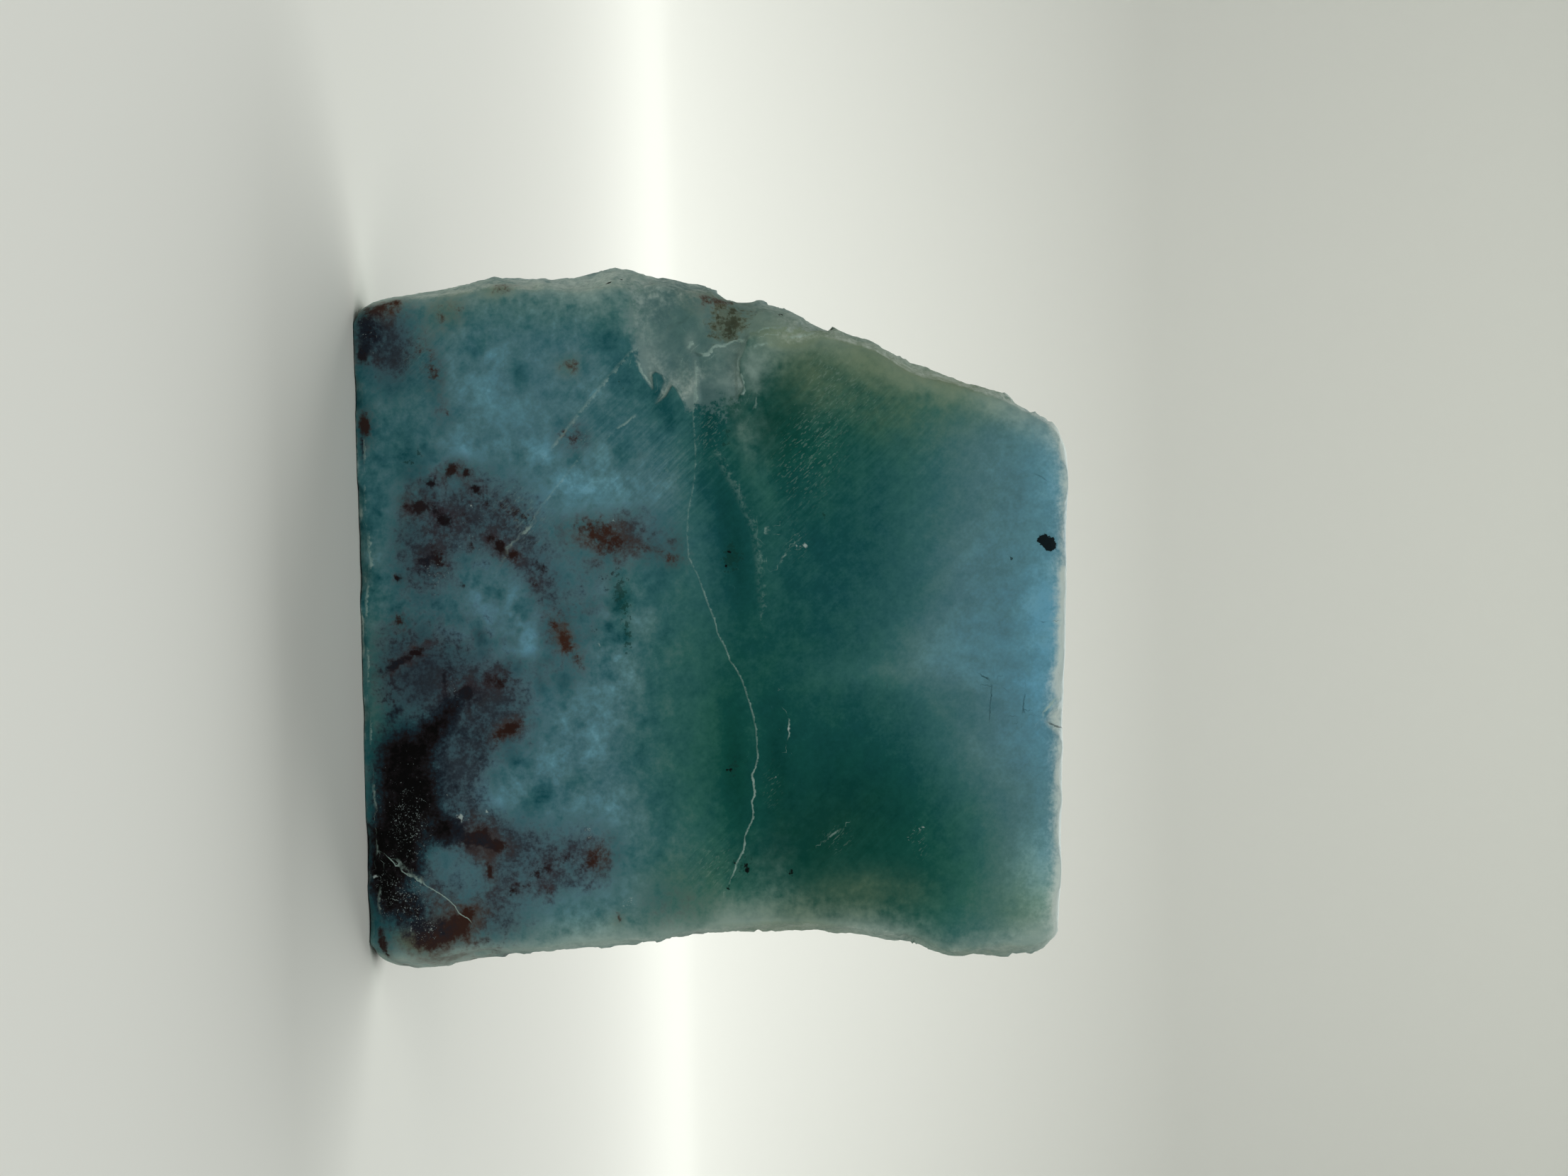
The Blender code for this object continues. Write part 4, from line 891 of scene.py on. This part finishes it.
milky = add_node(
    tree, "ShaderNodeMath", {0: billow, 1: amounts["unrest"], 2: milky}, operation="MULTIPLY_ADD"
).outputs[0]
milky = shake(milky, ((wisp, 0.05), (grain, 0.07), (streak, 0.4)))

# Colours of the ground, from the deep clear stone to the milkiest
BLUE_STONE = (
    (0.0, "#06424A"), (0.25, "#1A5560"), (0.5, "#3F727D"), (0.7, "#588490"), (0.85, "#6096A9"),
    (1.0, "#6CABC6"),
)
GREEN_STONE = (
    (0.0, "#00443A"), (0.25, "#0F544B"), (0.5, "#326D61"), (0.7, "#547F74"), (0.85, "#6D9488"),
    (1.0, "#8FB3A8"),
)
grounds = []
for stops in (BLUE_STONE, GREEN_STONE):
    ramp_node = add_node(tree, "ShaderNodeValToRGB", {"Fac": milky})
    elements = ramp_node.color_ramp.elements
    while len(elements) < len(stops):
        elements.new(0.5)
    for element, (position, code) in zip(elements, stops):
        element.position = position
        element.color = linear(code)
    grounds.append(ramp_node.outputs["Color"])
greenish = shake(amounts["green"], ((cloud, 0.24),))
colour = add_node(
    tree, "ShaderNodeMix", {0: greenish, 6: grounds[0], 7: grounds[1]}, data_type="RGBA"
).outputs[2]

# Iron stains the stone round each spot and darkens to grains in its middle.
iron_tints = []
for orange, maroon in (("#5B4631", "#3E3136"), ("#44271A", "#160A0D")):
    iron_tints.append(add_node(
        tree, "ShaderNodeMix", {0: amounts["redness"], 6: linear(orange), 7: linear(maroon)},
        data_type="RGBA",
    ).outputs[2])
stain_tint, core_tint = iron_tints

# Tiny pale flecks: small cells, each shown where its own number is under the flecks' share
FLECK_SPACING = 0.26
FLECK_SMALLEST = 0.03
FLECK_LARGEST = 0.17
FLECK_RAGGEDNESS = 0.2
FLECK_BEND = 1.4
ragged = add_node(
    tree, "ShaderNodeTexNoise", {"Vector": in_mm, "Scale": 1 / FLECK_RAGGEDNESS, "Detail": 1.0}
).outputs["Color"]
ragged = add_node(
    tree, "ShaderNodeVectorMath", {0: ragged, 1: (FLECK_BEND,) * 3, 2: in_mm}, operation="MULTIPLY_ADD"
).outputs["Vector"]
cells = add_node(
    tree, "ShaderNodeTexVoronoi", {"Vector": ragged, "Scale": 1 / FLECK_SPACING}, feature="F1"
)
chosen = add_node(
    tree, "ShaderNodeMath", {0: cells.outputs["Color"], 1: amounts["flecks"]}, operation="LESS_THAN"
).outputs[0]
own_number = add_node(tree, "ShaderNodeSeparateColor", {"Color": cells.outputs["Color"]}).outputs["Green"]
own_radius = add_node(
    tree, "ShaderNodeMapRange",
    {0: own_number, 1: 0.0, 2: 1.0, 3: FLECK_SMALLEST / FLECK_SPACING, 4: FLECK_LARGEST / FLECK_SPACING},
).outputs[0]
fleck = add_node(
    tree, "ShaderNodeMapRange", {0: cells.outputs["Distance"], 1: own_radius, 2: 0.0, 3: 0.0, 4: 1.0}
).outputs[0]
fleck = add_node(tree, "ShaderNodeMath", {0: fleck, 1: chosen}, operation="MULTIPLY").outputs[0]

# Short pale dashes along the streaks
DASH_LENGTH = 0.26
DASH_WIDTH = 0.07
along_dashes = add_node(
    tree, "ShaderNodeVectorMath", {0: turned, 1: (1 / DASH_LENGTH, 1.0, 1 / DASH_WIDTH)},
    operation="MULTIPLY",
).outputs["Vector"]
dash_noise = add_node(
    tree, "ShaderNodeTexNoise", {"Vector": along_dashes, "Scale": 1.0, "Detail": 1.0}
).outputs["Fac"]
dash = add_node(
    tree, "ShaderNodeMapRange", {0: dash_noise, 1: 0.54, 2: 0.68, 3: 0.0, 4: 1.0}
).outputs[0]
dash = add_node(
    tree, "ShaderNodeMath", {0: dash, 1: amounts["dashes"]}, operation="MULTIPLY"
).outputs[0]

# Lines are drawn where the noise-shaken distance is within the half width.
drawn = {}
for name in ("pale_line", "dark_line"):
    uneven = shake(amounts[name], ((wisp, 1.2), (grain, 0.9)))
    uneven = add_node(tree, "ShaderNodeMath", {0: uneven}, operation="ABSOLUTE").outputs[0]
    share = add_node(
        tree, "ShaderNodeMapRange", {0: uneven, 1: 1.3, 2: 0.2, 3: 0.0, 4: 1.0},
        interpolation_type="SMOOTHSTEP",
    ).outputs[0]
    strength = shake(amounts[name + "_strength"], ((wisp, 0.4), (grain, 0.3)))
    drawn[name] = add_node(
        tree, "ShaderNodeMath", {0: share, 1: strength}, operation="MULTIPLY"
    ).outputs[0]

in_spall_share = add_node(
    tree, "ShaderNodeMapRange", {0: shake(amounts["spall"], ((wisp, 0.1), (grain, 0.08))), 1: -0.03, 2: 0.04, 3: 0.0, 4: 1.0}
).outputs[0]
veiled_lip = add_node(
    tree, "ShaderNodeMath", {0: in_spall_share, 1: amounts["lip"]}, operation="MULTIPLY"
).outputs[0]

# What lies over the ground, in order: (amount, from, to, most, colour)
LAYERS = (
    # pale rind and chips, partly painted light coming through the thin rims
    (roughen(amounts["pale_rind_and_backlight"], ((wisp, 0.2), (cloud, 0.2))), 0.05, 1.1, 0.85, linear("#A9BFB7")),
    (roughen(amounts["olive"], ((wisp, 0.15), (cloud, 0.2))), 0.0, 1.0, 0.8, linear("#7D8D6C")),
    (in_spall_share, 0.0, 1.0, 0.4, linear("#718B8C")),
    (veiled_lip, 0.15, 1.0, 0.24, linear("#A2B5AE")),
    # painted light: a pale glow where light from behind shines through the thin edges
    (roughen(amounts["painted_backlight"], ((wisp, 0.35), (grain, 0.25))), 0.1, 1.15, 0.8, linear("#D9E6DE")),
    (roughen(amounts["moss"], ((wisp, 1.6), (grain, 1.2))), 0.55, 1.1, 0.7, linear("#0C3D36")),
    (amounts["haze"], 0.0, 0.9, 0.3, linear("#74808C")),
    (roughen(amounts["haze"], ((cloud, 0.8), (wisp, 0.7), (grain, 0.35))), 0.0, 1.12, 0.78, linear("#2B2D3A")),
    (roughen(amounts["haze"], ((grain, 0.8), (wisp, 1.0), (cloud, 0.6))), 0.6, 1.5, 0.5, linear("#1E171D")),
    (roughen(amounts["stain"], ((cloud, 0.35), (wisp, 0.35), (grain, 0.15))), 0.04, 0.85, 0.8, stain_tint),
    (roughen(amounts["iron"], ((wisp, 0.55), (grain, 0.35))), 0.3, 0.95, 0.93, core_tint),
    (roughen(amounts["black"], ((cloud, 0.25), (wisp, 0.35), (grain, 0.25))), 0.0, 0.75, 0.9, linear("#182733")),
    (roughen(amounts["black"], ((cloud, 0.3), (wisp, 0.5), (grain, 0.4))), 0.45, 1.1, 0.88, linear("#1B1010")),
    (roughen(amounts["black"], ((cloud, 0.4), (wisp, 0.5), (grain, 0.3))), 0.92, 1.32, 0.95, linear("#040404")),
    (shake(amounts["pocket"], ((wisp, 0.7), (grain, 0.5))), -0.2, 0.25, 0.55, linear("#5F654D")),
    (shake(amounts["pocket"], ((wisp, 1.4), (grain, 1.0))), 0.15, 0.9, 0.7, linear("#34331F")),
    (dash, 0.1, 0.9, 0.2, linear("#9DB8AC")),
    (drawn["pale_line"], 0.0, 1.0, 0.75, linear("#A9C4BB")),
    (drawn["dark_line"], 0.0, 1.0, 0.8, linear("#12302F")),
    (fleck, 0.05, 0.55, 0.5, linear("#A3B4B2")),
    (shake(amounts["speck"], ((wisp, 0.14), (grain, 0.14))), 0.0, -0.1, 0.75, linear("#BCCDC9")),
    (shake(amounts["ink"], ((wisp, 0.16), (grain, 0.1))), 0.03, -0.03, 0.97, linear("#030506")),
)
for amount, start, end, most, tint in LAYERS:
    share = add_node(
        tree, "ShaderNodeMapRange", {0: amount, 1: start, 2: end, 3: 0.0, 4: most},
        interpolation_type="SMOOTHSTEP",
    ).outputs[0]
    colour = add_node(
        tree, "ShaderNodeMix", {0: share, 6: colour, 7: tint}, data_type="RGBA"
    ).outputs[2]

# Bump: streaks and fine grain on the sawn faces, and a coarser bite on the broken ones
streak_height = shake(0.0, ((streak, 1.0), (grain, 0.3)))
broken_height = add_node(
    tree, "ShaderNodeMath", {0: wisp, 1: amounts["broken"], 2: 0.0}, operation="MULTIPLY_ADD"
).outputs[0]
height = add_node(
    tree, "ShaderNodeMath", {0: broken_height, 1: 3.0, 2: streak_height}, operation="MULTIPLY_ADD"
).outputs[0]
bump = add_node(
    tree, "ShaderNodeBump", {"Height": height, "Distance": 0.012 * MM, "Strength": 1.0}
).outputs["Normal"]
roughness = add_node(
    tree, "ShaderNodeMapRange", {0: shake(amounts["broken"], ((wisp, 0.4),)), 1: 0.0, 2: 1.0, 3: 0.46, 4: 0.62}
).outputs[0]
shader = add_node(
    tree, "ShaderNodeBsdfPrincipled",
    {"Base Color": colour, "Roughness": roughness, "Normal": bump, "IOR": 1.6, "Specular IOR Level": 0.05},
)
add_node(tree, "ShaderNodeOutputMaterial", {"Surface": shader.outputs["BSDF"]})
stone_mesh.materials.clear()
stone_mesh.materials.append(larimar)

# The table and backdrop: one sheet of pale matt paper, flat under the stone and curving up
# behind it, so that no edge of the table shows.
PAPER_FRONT = -800.0
PAPER_BACK = 720.0
PAPER_CURVE = 250.0
PAPER_TOP = 600.0
PAPER_HALF_WIDTH = 800.0
CURVE_STEPS = 24

profile = [(PAPER_FRONT, 0.0)]
for step in range(CURVE_STEPS + 1):
    swing = math.radians(90) * step / CURVE_STEPS
    profile.append((PAPER_BACK - PAPER_CURVE * (1 - math.sin(swing)), PAPER_CURVE * (1 - math.cos(swing))))
profile.append((PAPER_BACK, PAPER_TOP))
paper_shape = bmesh.new()
rows = []
for side in (-PAPER_HALF_WIDTH, PAPER_HALF_WIDTH):
    rows.append([paper_shape.verts.new(Vector((side, y, z)) * MM) for y, z in profile])
for index in range(len(profile) - 1):
    left, right = rows
    paper_shape.faces.new((left[index], right[index], right[index + 1], left[index + 1]))
paper_mesh = bpy.data.meshes.new("paper_sweep")
paper_shape.to_mesh(paper_mesh)
paper_shape.free()
paper_mesh.shade_smooth()
paper = bpy.data.objects.new("paper_sweep", paper_mesh)
bpy.context.scene.collection.objects.link(paper)
paper_material = bpy.data.materials.new("matt_paper")
paper_material.use_nodes = True
paper_shader = paper_material.node_tree.nodes["Principled BSDF"]
paper_shader.inputs["Base Color"].default_value = linear("#E6E8E0")
paper_shader.inputs["Roughness"].default_value = 0.9
paper_shader.inputs["Specular IOR Level"].default_value = 0.1
paper_mesh.materials.append(paper_material)

# The light: a soft window above and behind the stone, a large soft box above the camera, a lamp
# that only lights the paper behind, and a dim even room.
LIGHTS = (
    ("window", (0, 400, 400), (0, 40, 0), (600, 300), 2.25),
    ("soft_box", (0, -330, 330), (0, 0, 20), (400, 400), 0.9),
    ("backdrop_lamp", (0, 440, 330), (0, 690, 40), (700, 200), 0.6),
)
for name, spot, aim, (width, depth), power in LIGHTS:
    area = bpy.data.lights.new(name, "AREA")
    area.shape = "RECTANGLE"
    area.size = width * MM
    area.size_y = depth * MM
    area.energy = power
    lamp = bpy.data.objects.new(name, area)
    facing = (Vector(aim) - Vector(spot)).to_track_quat("-Z", "Y")
    lamp.matrix_world = Matrix.Translation(Vector(spot) * MM) @ facing.to_matrix().to_4x4()
    bpy.context.scene.collection.objects.link(lamp)

world = bpy.data.worlds.new("room")
world.use_nodes = True
world.node_tree.nodes["Background"].inputs["Color"].default_value = linear("#F4F6F2")
world.node_tree.nodes["Background"].inputs["Strength"].default_value = 0.15
bpy.context.scene.world = world
bpy.context.scene.view_settings.view_transform = "Standard"
